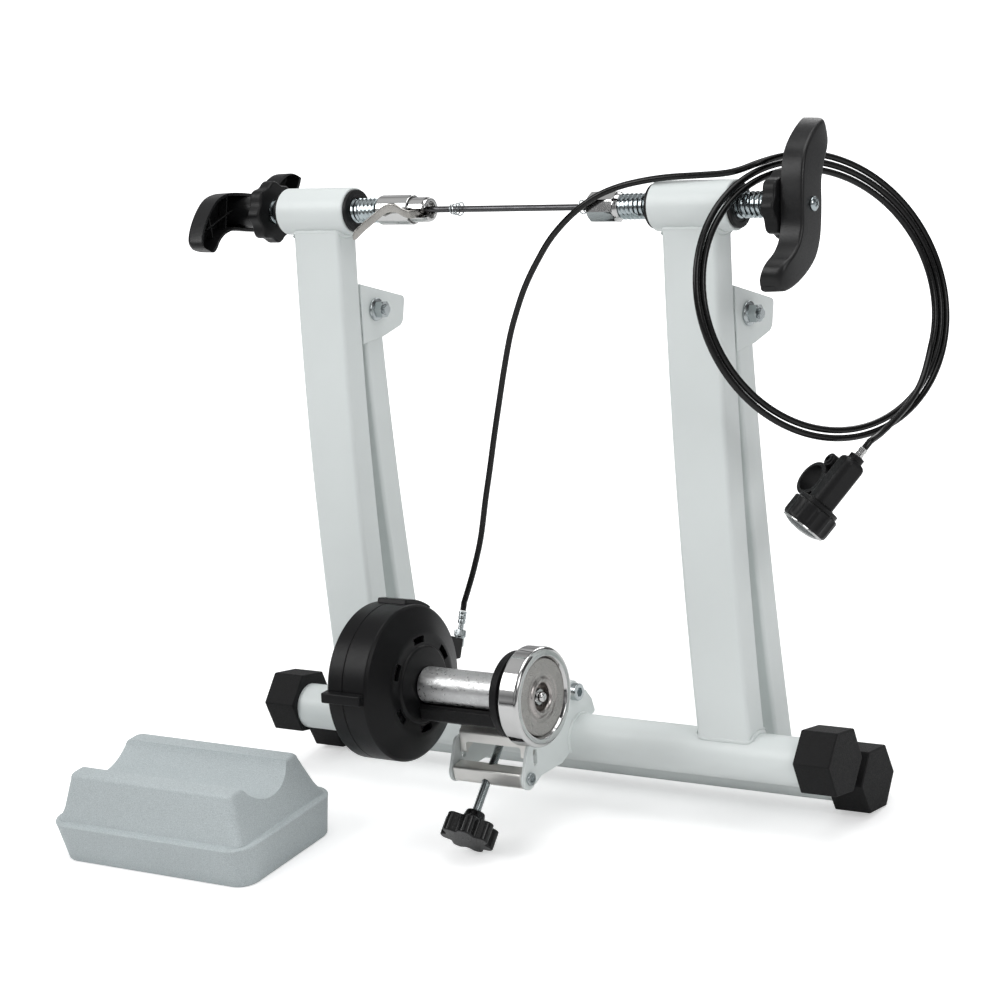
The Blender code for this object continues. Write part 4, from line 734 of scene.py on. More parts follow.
BOLT_RADIUS, BOLT_HOLE, BOLT_THREAD, BOLT_PITCH = 0.004, 0.0043, 0.0005, 0.00125
cheek = rounded(behind_upright(GAP, 0.317, 0.3668)
                + [(PIVOT[0] + 0.0417, PIVOT[1] + 0.0048, 0.004), (PIVOT[0] + 0.036, PIVOT[1] - 0.018, 0.008),
                   (PIVOT[0] + 0.008, PIVOT[1] - 0.024, 0.003)], 6)
web = behind_upright(GAP, 0.3175, 0.366) + behind_upright(GAP + BRACKET_PLATE, 0.3175, 0.366)[::-1]
for side, hand in SIDES:
    x = side * UPRIGHT_X
    half = UPRIGHT_WIDTH / 2
    fitted("hinge_plate_" + hand,
           joined(slab(cheek, x - half, x - half + BRACKET_PLATE, 0.0007, holes=[circle(PIVOT, BOLT_HOLE)]),
                  slab(cheek, x + half - BRACKET_PLATE, x + half, 0.0007, holes=[circle(PIVOT, BOLT_HOLE)]),
                  slab(web, x - half + 0.0004, x + half - 0.0004, 0.0002)),
           PAINT, "front_frame", "hinge_bracket_" + hand)
    face = half + GAP
    hub = (x, *PIVOT)
    bolt = joined(turned([(-face - 0.0016, 0), (-face - 0.0016, 0.0085, 0.0004), (-face, 0.0085, 0.0004),
                          (-face, BOLT_RADIUS), (face + 0.008, BOLT_RADIUS), (face + 0.008, 0)],
                         at=hub, steps=48),
                  hex_body(0.0062, face + 0.0012, face + 0.0072, hub, -X, 0.3),
                  threaded(BOLT_RADIUS, BOLT_THREAD, BOLT_PITCH, face + 0.007, face + 0.012, hub, X, 24))
    fitted("hinge_bolt_" + hand, bolt, ZINC, "front_frame", "pivot_bolt_" + hand)
    nut = joined(turned([(face, BOLT_HOLE), (face, 0.0095, 0.0005), (face + 0.0014, 0.0095, 0.0008),
                         (face + 0.003, 0.007), (face + 0.003, BOLT_HOLE)], at=hub, steps=64, ring=True),
                 hex_body(0.0064, face + 0.001, face + 0.0095, hub, X, 0.17, bore=BOLT_HOLE))
    fitted("hinge_nut_" + hand, nut, ZINC, "front_frame", "pivot_nut_" + hand)

# Clamp spindles and cups
# Coarse plated threads run through the sleeves. Each ends outside in a small cross-slotted screw that
# holds the handle, and inside in a chromed cup for the skewer: the right one has eight flats.
CHROME = finish("bright_chrome", (0.64, 0.64, 0.635), 0.075, (30.0, 0.96), (260.0, 0.00001, 2.0),
                (0.045, 0.075), metallic=1.0)
HANDLE_START, HANDLE_THICKNESS = 0.2595, 0.0145
SMOOTH_ZINC = finish("smooth_zinc", (0.5, 0.56, 0.58), 0.15, (70.0, 0.9), (400.0, 0.00001, 2.0),
                     (0.11, 0.22), metallic=1.0)
THREAD_DEPTH, THREAD_PITCH = 0.0013, 0.004
CUPS = {"left": (0.084, 0.117, 0.006), "right": (0.0854, 0.1123, 0.013)}
CUP_BORE = 0.0104


def cut_out(mesh, *tools):
    """A mesh with the tools' solids taken out of it."""
    target = bpy.data.objects.new("blank", mesh)
    scene.collection.objects.link(target)
    made = [target]
    for tool in tools:
        cutter = bpy.data.objects.new("cutter", tool)
        scene.collection.objects.link(cutter)
        change = target.modifiers.new("cut", "BOOLEAN")
        change.operation = "DIFFERENCE"
        change.solver = "EXACT"
        change.object = cutter
        made.append(cutter)
    bpy.context.view_layer.update()
    left = bpy.data.meshes.new_from_object(target.evaluated_get(bpy.context.evaluated_depsgraph_get()))
    for thing in made:
        used = thing.data
        bpy.data.objects.remove(thing)
        bpy.data.meshes.remove(used)
    shape = bmesh.new()
    shape.from_mesh(left)
    bpy.data.meshes.remove(left)
    bmesh.ops.remove_doubles(shape, verts=shape.verts, dist=2e-6)
    bmesh.ops.dissolve_degenerate(shape, edges=shape.edges, dist=2e-6)
    return as_mesh(shape)


def box(u, v, w, at, axes):
    """A plain cutting block from spans along three axes."""
    return slab([(u[0], v[0]), (u[1], v[0]), (u[1], v[1]), (u[0], v[1])], *w, at=at, axes=axes)


for side, hand in SIDES:
    inner, outer, recess = CUPS[hand]
    mouth = [(inner + recess, 0), (inner + recess, CUP_BORE), (inner + 0.0006, CUP_BORE)]
    if hand == "left":
        cup = turned(mouth + [(inner, 0.011), (inner, 0.0114), (inner + 0.0008, 0.012),
                              (outer - 0.0026, 0.012, 0.0008), (outer, 0.0094, 0.0004), (outer, 0)],
                     at=AXLE, axis=side * X, steps=96)
    else:
        cup = joined(turned(mouth + [(inner, 0.0108), (inner + 0.002, 0.0114), (outer - 0.003, 0.0114),
                                     (outer, 0.0094, 0.0004), (outer, 0)], at=AXLE, axis=side * X, steps=96),
                     hex_body(0.0114, inner + 0.001, outer - 0.0034, AXLE, side * X, 0.2, bore=CUP_BORE,
                              chamfer_low=True, sides=8))
    fitted("cup_" + hand, cup, CHROME, "clamp_" + hand, "dropout_cup_" + hand)
    seat = HANDLE_START - GAP
    face = HANDLE_START + HANDLE_THICKNESS + GAP
    head = turned([(seat - 0.002, 0), (seat - 0.002, 0.003), (face, 0.003), (face, 0.0055, 0.0003),
                   (face + 0.0014, 0.0055, 0.0008), (face + 0.003, 0.0036, 0.0014), (face + 0.0032, 0)],
                  at=AXLE, axis=side * X, steps=40)
    cross = [box((-u, u), (-v, v), (face + 0.0014, face + 0.006), AXLE, frame_of(side * X))
             for u, v in ((0.0027, 0.00045), (0.00045, 0.0027))]
    thread = threaded(THREAD_RADIUS, THREAD_DEPTH, THREAD_PITCH, outer + GAP, seat, AXLE, side * X, 36)
    fitted("threaded_spindle_" + hand, joined(thread, cut_out(head, *cross)), SMOOTH_ZINC,
           "spindle_axis_" + hand, "spindle_" + hand)

# Grips
# S-shaped hollow mouldings of black nylon with a rounded outer face, whose tips bend in towards the
# frame. Their open side faces the frame and is stiffened by thin ribs and a hub round the spindle.
GRIP_WALL, GRIP_FOOT, TIP_BEND, TIP_ROUNDING = 0.0024, -0.0033, 0.0105, 0.0026
GRIP = finish("grip_nylon", (0.0075, 0.0075, 0.008), 0.34, (26.0, 0.84), (900.0, 0.00005, 3.0), (0.28, 0.42),
              specular=0.42)
NEAR_EDGE = [(0.016, 0.0), (0.014, -0.014), (0.011, -0.027), (0.0045, -0.039), (-0.007, -0.048),
             (-0.022, -0.055), (-0.036, -0.0585), (-0.044, -0.0575), (-0.0478, -0.0548)]
FAR_EDGE = [(-0.016, 0.0), (-0.0175, -0.014), (-0.0222, -0.024), (-0.0275, -0.0298), (-0.033, -0.0335),
            (-0.0385, -0.0362), (-0.044, -0.0402), (-0.0474, -0.0455), (-0.0484, -0.052)]


def whole(upper, lower):
    """One edge of the S from end to end; lower is turned half round to make its other half."""
    return smooth([(-y, -z, 0) for y, z in lower[:0:-1]] + [(y, z, 0) for y, z in upper], 4)


near_side, far_side = whole(NEAR_EDGE, FAR_EDGE), whole(FAR_EDGE, NEAR_EDGE)


def arched(half, height, foot, corner):
    """Half the section of a blade's wall: up one side, round its corner and level to the middle."""
    corner = min(corner, half * 0.8, (height - foot) * 0.8)
    side = [(half, foot), (half - 0.0002, foot + (height - foot) * 0.4)]
    side += [(half - 0.0005 - corner * (1 - cos(a)), height - corner * (1 - sin(a)))
             for a in (pi / 2 * k / 6 for k in range(7))]
    return side + [((half - corner) * 0.5, height + 0.0002)]


def grip_blade(place):
    """The hollow blade, bent in towards the frame at both tips. place sets a point on its plane."""
    shape = bmesh.new()
    sections = []
    count = len(near_side)
    for i, (near, far) in enumerate(zip(near_side, far_side)):
        t = abs(2 * i / (count - 1) - 1)
        end = max(0.0, (t - 0.93) / 0.07)
        bend = TIP_BEND * t ** 2.4
        height = HANDLE_THICKNESS - bend - TIP_ROUNDING * end * end
        foot = GRIP_FOOT - bend * 0.75 + 0.001 * end * end
        middle, half = (near + far) / 2, (far - near) / 2
        for spot in (middle, half):
            spot.x *= 1 - 0.15 * t * t
            spot.y *= 1 + 0.02 * t * t
        wide = half.length
        wall = min(GRIP_WALL, wide * 0.5)
        outer = arched(wide, height, foot, 0.0024 + 0.0045 * t ** 4)
        inner = arched(wide - wall, height - GRIP_WALL if t < 0.955 else foot, foot, 0.0012)
        flank = outer + [(-u, v) for u, v in outer[::-1]] + [(-u, v) for u, v in inner] + inner[::-1]
        sections.append([shape.verts.new(place(middle + half * (u / wide), v)) for u, v in flank])
    skin(shape, sections)
    for end in (sections[0], sections[-1]):
        for k in range(len(end) // 2 - 1):
            shape.faces.new((end[k], end[k + 1], end[-k - 2], end[-k - 1]))
    return as_mesh(shape, 45)


def rib(start, end, place, depth):
    """A thin web across the pocket."""
    start, end = Vector((*start, 0)), Vector((*end, 0))
    out = Vector((-(end - start).y, (end - start).x, 0)).normalized() * 0.0006
    shape = bmesh.new()
    rings = [[shape.verts.new(place(p, level_at))
              for p in (start - out * k, end - out * k, end + out * k, start + out * k)]
             for level_at, k in ((0.0018, 0.7), (0.002, 1.0), (depth, 1.0))]
    skin(shape, rings, capped=True)
    return as_mesh(shape)


RIBS = [((0.01, -0.022), (-0.018, -0.0195), 0.0098), ((0.0, -0.0125), (-0.0225, -0.043), 0.0085),
        ((-0.008, -0.0435), (-0.0275, -0.0345), 0.0068)]
for side, hand, angle in ((-1, "left", 72.0), (1, "right", 0.0)):
    lean_by = radians(angle)

    def on_blade(point, level_at):
        """A point of the blade's plane, on the real handle."""
        y, z = side * point.x, point.y
        return Vector((side * (HANDLE_START + level_at), y * cos(lean_by) - z * sin(lean_by),
                       y * sin(lean_by) + z * cos(lean_by) + AXLE_HEIGHT))

    nose = 0.2425 if hand == "left" else 0.2562
    back_wall = HANDLE_START + HANDLE_THICKNESS - 0.0016
    hub = turned([(nose, THREAD_RADIUS + GAP), (nose, 0.0128, 0.0008), (back_wall, 0.0138),
                  (back_wall, THREAD_RADIUS + GAP)], AXLE, side * X, 48, ring=True)
    ribs = [rib((k * a[0], k * a[1]), (k * b[0], k * b[1]), on_blade, deep)
            for a, b, deep in RIBS for k in (1, -1)]
    fitted("grip_" + hand, joined(grip_blade(on_blade), hub, *ribs), GRIP,
           "spindle_axis_" + hand, "handle_" + hand)

# Lock knobs
# Lobed nuts of black nylon on the threaded spindles. They are screwed up against the sleeves to
# hold the clamp's width.
KNOB_RADIUS, KNOB_DIP, KNOB_LOBES = 0.0256, 0.0028, 8
knob_plan = polar(lambda a: KNOB_RADIUS - KNOB_DIP * (1 - cos(KNOB_LOBES * a)) / 2, 160)
for side, hand, inner, outer in ((-1, "left", 0.2242, 0.236), (1, "right", 0.2438, 0.2548)):
    knob = slab(knob_plan, inner, outer, 0.0018, AXLE, (Y, Z, side * X),
                holes=[circle((0, 0), THREAD_RADIUS + GAP)], steps=5)
    fitted("lock_ring_" + hand, knob, MOULDED, "lock_knob_axis_" + hand, "lock_knob_" + hand)

# Skewer
# A quick-release skewer: a dark steel rod, a chromed cam housing with its curved lever, a chromed nut
# and two conical springs of plated wire.
LEVER_PIVOT = (-0.078, 0, AXLE_HEIGHT)
LEVER_OUT = Vector((0, -0.985, -0.174)).normalized()
LEVER_WIDTH = 0.007
ROD_RADIUS, ROD_THREAD, ROD_PITCH = 0.0025, 0.0003, 0.0008
NUT_START = 0.0866
SPRING_CURLS, SPRING_LENGTH, SPRING_STEPS = 3.5, 0.011, 84
SPRING_TIP, SPRING_FLARE, SPRING_WIRE = 0.0034, 0.0021, 0.0005
DARK_STEEL = finish("oiled_steel", (0.1, 0.1, 0.104), 0.32, (50.0, 0.85), (700.0, 0.00002, 3.0),
                    (0.22, 0.4), metallic=1.0, stretch=(0.12, 1, 1))


def cylinder(low, high, radius, at, axis, steps):
    """A plain round bar with sharp edges."""
    return turned([(low, 0), (low, radius), (high, radius), (high, 0)], at, axis, steps)


housing = turned([(-0.0897, 0), (-0.0897, 0.0088, 0.0008), (-0.0885, 0.01, 0.001), (-0.0697, 0.01, 0.001),
                  (-0.0672, 0.0092, 0.0006), (-0.067, 0.0068, 0.0005), (-0.072, 0.006), (-0.072, 0)],
                 AXLE, X, 96)
lever_axes = (X, LEVER_OUT, X.cross(LEVER_OUT))
wide = LEVER_WIDTH / 2 + GAP
housing = cut_out(housing, box((-0.008, 0.008), (-0.0035, 0.025), (-wide, wide), LEVER_PIVOT, lever_axes),
                  box((0.004, 0.012), (0.0032, 0.025), (-wide - 0.0001, wide + 0.0001), LEVER_PIVOT,
                      lever_axes))
rod = joined(cylinder(-0.0722, NUT_START - 0.01, ROD_RADIUS, AXLE, X, 32),
             threaded(ROD_RADIUS, ROD_THREAD, ROD_PITCH, NUT_START - 0.0101, NUT_START + 0.007, AXLE, X, 20))
fitted("skewer_shaft", rod, DARK_STEEL, "clamp_left", "skewer_rod")
cam = fitted("cam_housing", housing, CHROME, "clamp_left")
nut = turned([(0.0075, 0), (0.0075, 0.0028), (0, 0.0028), (0, 0.008), (0.001, 0.009, 0.0004),
              (0.0068, 0.009, 0.0012), (0.0092, 0.0066, 0.001), (0.0095, 0)],
             (NUT_START, 0, AXLE_HEIGHT), X, 64)
fitted("skewer_cap", nut, CHROME, "clamp_left", "skewer_nut")
for name, start, grows in (("skewer_spring_left", -0.048, True), ("skewer_spring_right", 0.0745, False)):
    curls = []
    for i in range(SPRING_STEPS + 1):
        share = i / SPRING_STEPS
        reach = SPRING_TIP + SPRING_FLARE * (share if grows else 1 - share)
        a = tau * SPRING_CURLS * share
        curls.append((start + SPRING_LENGTH * share, reach * cos(a), AXLE_HEIGHT + reach * sin(a)))
    fitted(name.replace("skewer_spring", "cone_spring"), round_bar(curls, SPRING_WIRE, 8), ZINC,
           "clamp_left", name)
spine = smooth([(0, -0.001, 0), (-0.001, 0.006, 0), (0.0005, 0.0125, 0), (0.004, 0.0165, 0.0028),
                (0.0105, 0.018, 0.0072), (0.02, 0.0185, 0.0064), (0.031, 0.0215, 0.0),
                (0.04, 0.028, -0.0064), (0.0455, 0.0345, -0.012)], 6)
lever_sides = Matrix((-X, LEVER_OUT, (-X).cross(LEVER_OUT))).transposed()
strap = bmesh.new()
rings = []
for i, point in enumerate(spine):
    along = (spine[min(i + 1, len(spine) - 1)] - spine[max(i - 1, 0)]).normalized()
    across = Vector((-along.y, along.x, 0)).normalized()
    tip = max(0.0, (i / (len(spine) - 1) - 0.94) / 0.06)
    thick = (0.0022 - 0.001 * i / len(spine)) * (1 - 0.35 * tip * tip)
    wide = LEVER_WIDTH / 2 * (0.94 + 0.1 * i / len(spine)) * sqrt(max(0.2, 1 - 0.8 * tip * tip))
    ring = []
    for k in range(24):
        turn = tau * k / 24
        u = copysign(abs(cos(turn)) ** 0.35, cos(turn)) * thick
        v = copysign(abs(sin(turn)) ** 0.35, sin(turn)) * wide
        spot = point + across * u + Vector((0, 0, v))
        ring.append(strap.verts.new(Vector(LEVER_PIVOT) + lever_sides @ spot))
    rings.append(ring)
skin(strap, rings, capped=True)
lever = as_mesh(strap, 40)
SATIN_CHROME = finish("satin_chrome", (0.47, 0.455, 0.43), 0.24, (60.0, 0.9), (420.0, 0.00002, 3.0),
                      (0.18, 0.32), metallic=1.0)
fitted("release_lever", lever, SATIN_CHROME, "lever_axis", "skewer_lever")

# Roller bracket
# Two painted plates welded across the front base tube. They hold the bolt that the unit tilts on and
# the plated bar that the tension screw runs through, which a short bolt holds at each end.
TILT_AXIS = (-0.007, 0.04)
BARREL_AXIS = (-0.0772, -0.0116)
PLATE_OUT, PLATE = 0.036, 0.003
SCREW_X, SCREW_RADIUS, SCREW_THREAD, SCREW_PITCH = -0.0025, 0.0035, 0.0006, 0.00125
SCREW_SLOPE = radians(42.65)
SCREW_AXIS = Vector((0, sin(SCREW_SLOPE), cos(SCREW_SLOPE)))
SCREW_AXES = (X, Vector((0, cos(SCREW_SLOPE), -sin(SCREW_SLOPE))), SCREW_AXIS)
SCREW_FOOT = Vector((SCREW_X, *BARREL_AXIS))
BRIGHT_ZINC = finish("bright_zinc", (0.83, 0.82, 0.79), 0.36, (45.0, 0.94), (700.0, 0.000012, 2.0),
                     (0.3, 0.4), metallic=0.8)
plate_side = rounded(arc(TILT_AXIS, 0.009, 5, 150, 14)
                     + [(-0.022, 0.023, 0.006), (-0.06, 0.0165, 0.004), (-0.076, 0.015, 0.006)]
                     + arc(BARREL_AXIS, 0.009, 150, 290, 14)
                     + [(-0.06, -0.014, 0.006), (-0.03, -0.013, 0.004), (-0.015, -0.006), (0.012, 0.012),
                        (0.0235, 0.015, 0.002), (0.0195, 0.027, 0.004), (0.012, 0.036, 0.003)], 5)
long_hole = arc((-0.0673, -0.001), 0.0026, 180, 360, 8) + arc((-0.0669, 0.0075), 0.0026, 0, 180, 8)
for side, hand in SIDES:
    axes = (Y, Z, side * X)
    web = slab(plate_side, PLATE_OUT - PLATE, PLATE_OUT, 0.0007, axes=axes,
               holes=[long_hole, circle(TILT_AXIS, BOLT_HOLE), circle(BARREL_AXIS, BOLT_HOLE)])
    beads = []
    for at_x in (PLATE_OUT + 0.0002, PLATE_OUT - PLATE - 0.0002):
        places = arc((0, 0), TUBE_RADIUS + 0.0002, 40, 203, 52)
        beads.append(round_bar([(side * at_x, y, z) for y, z in places],
                               [0.0015 + 0.0002 * sin(2.3 * i) for i in range(53)], 10))
    fitted("unit_plate_" + hand, joined(web, *beads), PAINT, "front_frame", "unit_bracket_" + hand)
reach = PLATE_OUT - PLATE - GAP
BAR_TURN = 0.16
bar_side = rounded([(-0.0072, -0.0072, 0.004), (0.0068, -0.0072, 0.004), (0.0068, 0.0068, 0.0022),
                    (-0.0072, 0.0068, 0.0022)])
cross_bar = slab(bar_side, -reach, reach, 0.0008, at=(0, *BARREL_AXIS),
                 axes=(Vector((0, cos(BAR_TURN), sin(BAR_TURN))),
                       Vector((0, -sin(BAR_TURN), cos(BAR_TURN))), X))
bore = cylinder(-0.02, 0.02, SCREW_RADIUS + GAP, SCREW_FOOT, SCREW_AXIS, 32)
fitted("cross_bar", cut_out(cross_bar, bore), BRIGHT_ZINC, "front_frame", "screw_barrel")


def socket_head(seat, radius, rise, at, axis):
    """A cap head with a hexagonal socket."""
    head = turned([(seat, 0), (seat, radius), (seat + rise, radius, 0.0009), (seat + rise, 0)], at, axis, 48)
    return cut_out(head, hex_body(radius * 0.5, seat + rise * 0.35, seat + rise + 0.002, at, axis))


for side, hand in SIDES:
    at = (0, *BARREL_AXIS)
    bolt = joined(socket_head(PLATE_OUT + GAP, 0.0052, 0.0022, at, side * X),
                  cylinder(reach - 0.014, PLATE_OUT + 0.001, BOLT_RADIUS, at, side * X, 32))
    fitted("barrel_screw_" + hand, bolt, ZINC, "front_frame", "barrel_bolt_" + hand)
at = (0, *TILT_AXIS)
face = PLATE_OUT + GAP
fitted("tilt_pin", joined(socket_head(face, 0.007, 0.006, at, X),
                          cylinder(-face - 0.0058, face + 0.001, BOLT_RADIUS, at, X, 32),
                          hex_body(0.00605, face, face + 0.006, at, -X, 0.4)),
       ZINC, "front_frame", "tilt_bolt")

# Roller carrier
# A bright plated channel, pressed from sheet, that tilts on the bracket and carries the roller. Its
# lip has a window, and a tongue under it rests on the tension screw's pad.
HALF_WIDTH, SHEET = 0.0325, 0.0025
SCREW_REACH = 0.0395
carrier_side = rounded(arc(TILT_AXIS, 0.0095, -60, 115, 16)
                       + [(-0.0655, 0.0272, 0.006), (-0.073, 0.02, 0.004), (-0.073, 0.002, 0.002),
                          (-0.066, 0.002, 0.002), (-0.04, 0.013, 0.01), (-0.022, 0.024, 0.006)], 6)
hollow = [(-0.0705, -0.01), (-0.0705, 0.0185), (-0.065, 0.0245), (-0.016, 0.0455), (-0.016, 0.07),
          (0.02, 0.07), (0.02, -0.01)]
inner_half = HALF_WIDTH - SHEET
carrier = cut_out(slab(carrier_side, -HALF_WIDTH, HALF_WIDTH, 0.0013), slab(hollow, -inner_half, inner_half),
                  cylinder(-0.05, 0.05, BOLT_HOLE, (0, *TILT_AXIS), X, 32),
                  slab(rounded([(-0.0262, -0.004, 0.0005), (0.0262, -0.004, 0.0005), (0.0262, 0.0116, 0.0022),
                                (-0.0262, 0.0116, 0.0022)], 5), -0.077, -0.068, axes=(X, Z, Y)))
tongue_at = SCREW_FOOT + SCREW_AXIS * (SCREW_REACH + GAP + 0.0015) - SCREW_AXES[1] * 0.002
tongue = slab(rounded([(-0.01, -0.011, 0.003), (0.01, -0.011, 0.003), (0.01, 0.011, 0.001),
                       (-0.01, 0.011, 0.001)], 4), -0.0015, 0.0015, 0.0005, tongue_at, SCREW_AXES)
fitted("carrier_channel", joined(carrier, tongue), BRIGHT_ZINC, "roller_unit", "roller_carrier")

# Roller cradle
# The black casting under the roller, screwed to the carrier, with a round bearing plate at the
# flywheel's end.
ROLLER_AXIS = (-0.1085, 0.068)
ROLLER_RADIUS, SHAFT_RADIUS = 0.0145, 0.006
ROLLER_ROOM = ROLLER_RADIUS + 0.002
HUB = (0, *ROLLER_AXIS)
CAST = finish("cast_black", (0.0045, 0.0045, 0.005), 0.46, (30.0, 0.8), (700.0, 0.00012, 4.0), (0.38, 0.6),
              specular=0.22)
trough = slab(rounded([(-0.1212, 0.0532, 0.0015), (-0.12, 0.043, 0.003), (-0.106, 0.0372, 0.005),
                       (-0.09, 0.044, 0.006), (-0.0885, 0.056, 0.003)], 4)
              + arc(ROLLER_AXIS, ROLLER_ROOM, 350, 230, 30),
              -HALF_WIDTH - 0.0002, 0.0482, 0.0008)
saddle = slab(rounded([(-0.101, 0.05, 0.003), (-0.066, 0.0276, 0.002), (-0.04, 0.0387, 0.003),
                       (-0.048, 0.05, 0.006), (-0.08, 0.064, 0.006), (-0.0905, 0.062, 0.001)], 6),
              -0.023, 0.029, 0.002)
saddle = cut_out(saddle, cylinder(-0.05, 0.06, ROLLER_ROOM, HUB, X, 64))
bearing = turned([(0.0478, 0.0065), (0.0478, 0.029, 0.0006), (0.049, 0.0335, 0.0012), (0.056, 0.0345, 0.0012),
                  (0.0572, 0.03, 0.0006), (0.0572, 0.012, 0.0004), (0.0562, 0.0115, 0.0004),
                  (0.0562, 0.0065)], HUB, X, 96, ring=True)
fitted("cradle_casting", joined(trough, saddle, bearing), CAST, "roller_unit", "roller_cradle")

# Magnetic brake
# Two satin black shells close over the magnet rings and the rotor. The front one is a cone with a
# raised cap and six cooling slots, and the back one has three lugs on its rim.
DRUM_RADIUS, SHELL = 0.0622, 0.0025
DRUM = finish("drum_plastic", (0.005, 0.005, 0.0055), 0.4, (16.0, 0.86), (1100.0, 0.00005, 2.5),
              (0.31, 0.43), specular=0.2)
MAGNET = finish("magnet_coating", (0.13, 0.13, 0.135), 0.5, (60.0, 0.8), (600.0, 0.00004, 3.0), (0.42, 0.6),
                metallic=0.6)
r = DRUM_RADIUS
front = turned([(-0.033, 0.008), (-0.033, 0.0172, 0.001), (-0.0345, 0.03, 0.0012), (-0.0364, 0.0312),
                (-0.0366, 0.032), (-0.0366, 0.0398, 0.003), (-0.0458, r - 0.0022, 0.0006),
                (-0.0478, r, 0.0008), (-0.068, r), (-0.0685, r - 0.0005), (-0.0685, r - SHELL),
                (-0.049, r - SHELL), (-0.0484, r - 0.003), (-0.0392, 0.039), (-0.0388, 0.03),
                (-0.0368, 0.028), (-0.0357, 0.008)], HUB, X, 160, ring=True)
SLOT_OUTER, SLOT_INNER, SLOT_HALF_ANGLE = 0.0385, 0.0331, 10.5
slots = []
for middle in range(30, 390, 60):
    first, last = middle - SLOT_HALF_ANGLE, middle + SLOT_HALF_ANGLE
    plan = arc(ROLLER_AXIS, SLOT_OUTER, first, last, 12) + arc(ROLLER_AXIS, SLOT_INNER, last, first, 12)
    slots.append(slab(plan, -0.0415, -0.0335))
front = cut_out(front, *slots)
fitted("drum_front", front, DRUM, "roller_unit", "unit_front_cover")
back = turned([(-0.0688, r - SHELL), (-0.0688, r - 0.0005), (-0.0693, r), (-0.082, r, 0.0006),
               (-0.0855, r - 0.0035, 0.001), (-0.0855, 0.0065), (-0.083, 0.0065), (-0.083, r - 0.0045),
               (-0.081, r - SHELL)], HUB, X, 160, ring=True)


def lug(first, last, reach, low, high, taper=4.0):
    """A boss on the drum's rim between two angles."""
    sides = (arc(ROLLER_AXIS, 0.0602, last, first, 8)
             + arc(ROLLER_AXIS, reach, first + taper * 0.4, last - taper * 0.4, 8))
    for corner in (9, -1):
        sides[corner] = (*sides[corner], 0.001)
    return slab(rounded(sides, 3), low, high, 0.001)


lugs = joined(lug(51, 84, 0.0656, -0.08, -0.052), lug(172.5, 181.5, 0.068, -0.0852, -0.0482, 3.0),
              lug(292, 304, 0.0656, -0.072, -0.052))
fitted("drum_back", joined(back, lugs), DRUM, "roller_unit", "unit_back_cover")


def dress(node, look):
    """Give a CAD part a surface and softened edges."""
    kept = bpy.data.objects[node]
    for spot in kept.material_slots:
        spot.material = look
    rim = kept.modifiers.new("soft_edges", "BEVEL")
    rim.width, rim.segments, rim.limit_method = 0.0004, 2, "ANGLE"


dress("fixed_magnet_plate", MAGNET)
dress("moving_magnet_plate", MAGNET)

# Cable adjuster
# A black arm on the drum's rim holds the plated adjuster: a hex nut, a thin tube and the grooved
# ferrule that is crimped on the jacket.
arm = slab(rounded([(-0.053, 0.09, 0.001), (-0.032, 0.085, 0.002), (-0.018, 0.079, 0.001),
                    (-0.024, 0.064, 0.002), (-0.0495, 0.068, 0.001)], 5),
           CABLE_START.x - 0.0055, CABLE_START.x + 0.0055, 0.001)
root = CABLE_START - CABLE_HEADING * 0.029
stem = turned([(0, 0), (0, 0.004), (0.0075, 0.004), (0.0082, 0.0048), (0.013, 0.0048), (0.014, 0.0022),
               (0.0186, 0.0022), (0.019, 0.0032, 0.0002), (0.0212, 0.0032, 0.0003), (0.0216, 0.0029),
               (0.0226, 0.0029), (0.023, 0.0032, 0.0003), (0.0252, 0.0032, 0.0003), (0.0256, 0.0029),
               (0.0264, 0.0029), (0.0268, 0.0032, 0.0003), (0.0287, 0.0032, 0.0004), (0.0287, 0)],
              root, CABLE_HEADING, 40)
lock_nut = hex_body(0.0047, 0.0082, 0.0134, root, CABLE_HEADING, 0.2, chamfer_low=True)
fitted("adjuster", joined(stem, lock_nut), ZINC, "roller_unit", "cable_adjuster")
arm_piece = fitted("adjuster_arm", arm, DRUM, "roller_unit")

# Roller, axle and flywheel
# The roller is turned aluminium with a grainy satin face. It is keyed to a plated axle that carries
# the rotor inside the drum and the polished chrome flywheel, which a nut holds.
ALUMINIUM = finish("grained_aluminium", (0.66, 0.665, 0.665), 0.36, (40.0, 0.88), (520.0, 0.00022, 4.0),
                   (0.26, 0.52), metallic=1.0)
bore = SHAFT_RADIUS + GAP
barrel = turned([(-0.0322, bore), (-0.0322, ROLLER_RADIUS, 0.0012), (0.047, ROLLER_RADIUS, 0.0012),
                 (0.047, bore)], HUB, X, 96, ring=True)
fitted("tyre_roller", barrel, ALUMINIUM, "roller_shaft", "roller")
axle = turned([(-0.085, 0), (-0.085, SHAFT_RADIUS, 0.0006), (0.0695, SHAFT_RADIUS), (0.0695, 0)], HUB, X, 48)
axle_end = turned([(0.0735, 0), (0.0735, 0.0044, 0.0004), (0.0762, 0.0042, 0.0012), (0.078, 0.0028, 0.0012),
                   (0.0782, 0)], HUB, X, 48)
fitted("axle_and_nut", joined(axle, hex_body(0.0058, 0.0682, 0.0736, HUB, X, 0.5), axle_end), CHROME,
       "roller_shaft", "roller_axle")
SATIN_STEEL = finish("turned_steel", (0.45, 0.425, 0.41), 0.3, (24.0, 0.94), (900.0, 0.000012, 2.0),
                     (0.26, 0.34), metallic=1.0)
FLYWHEEL_RADIUS = 0.0386
f = FLYWHEEL_RADIUS
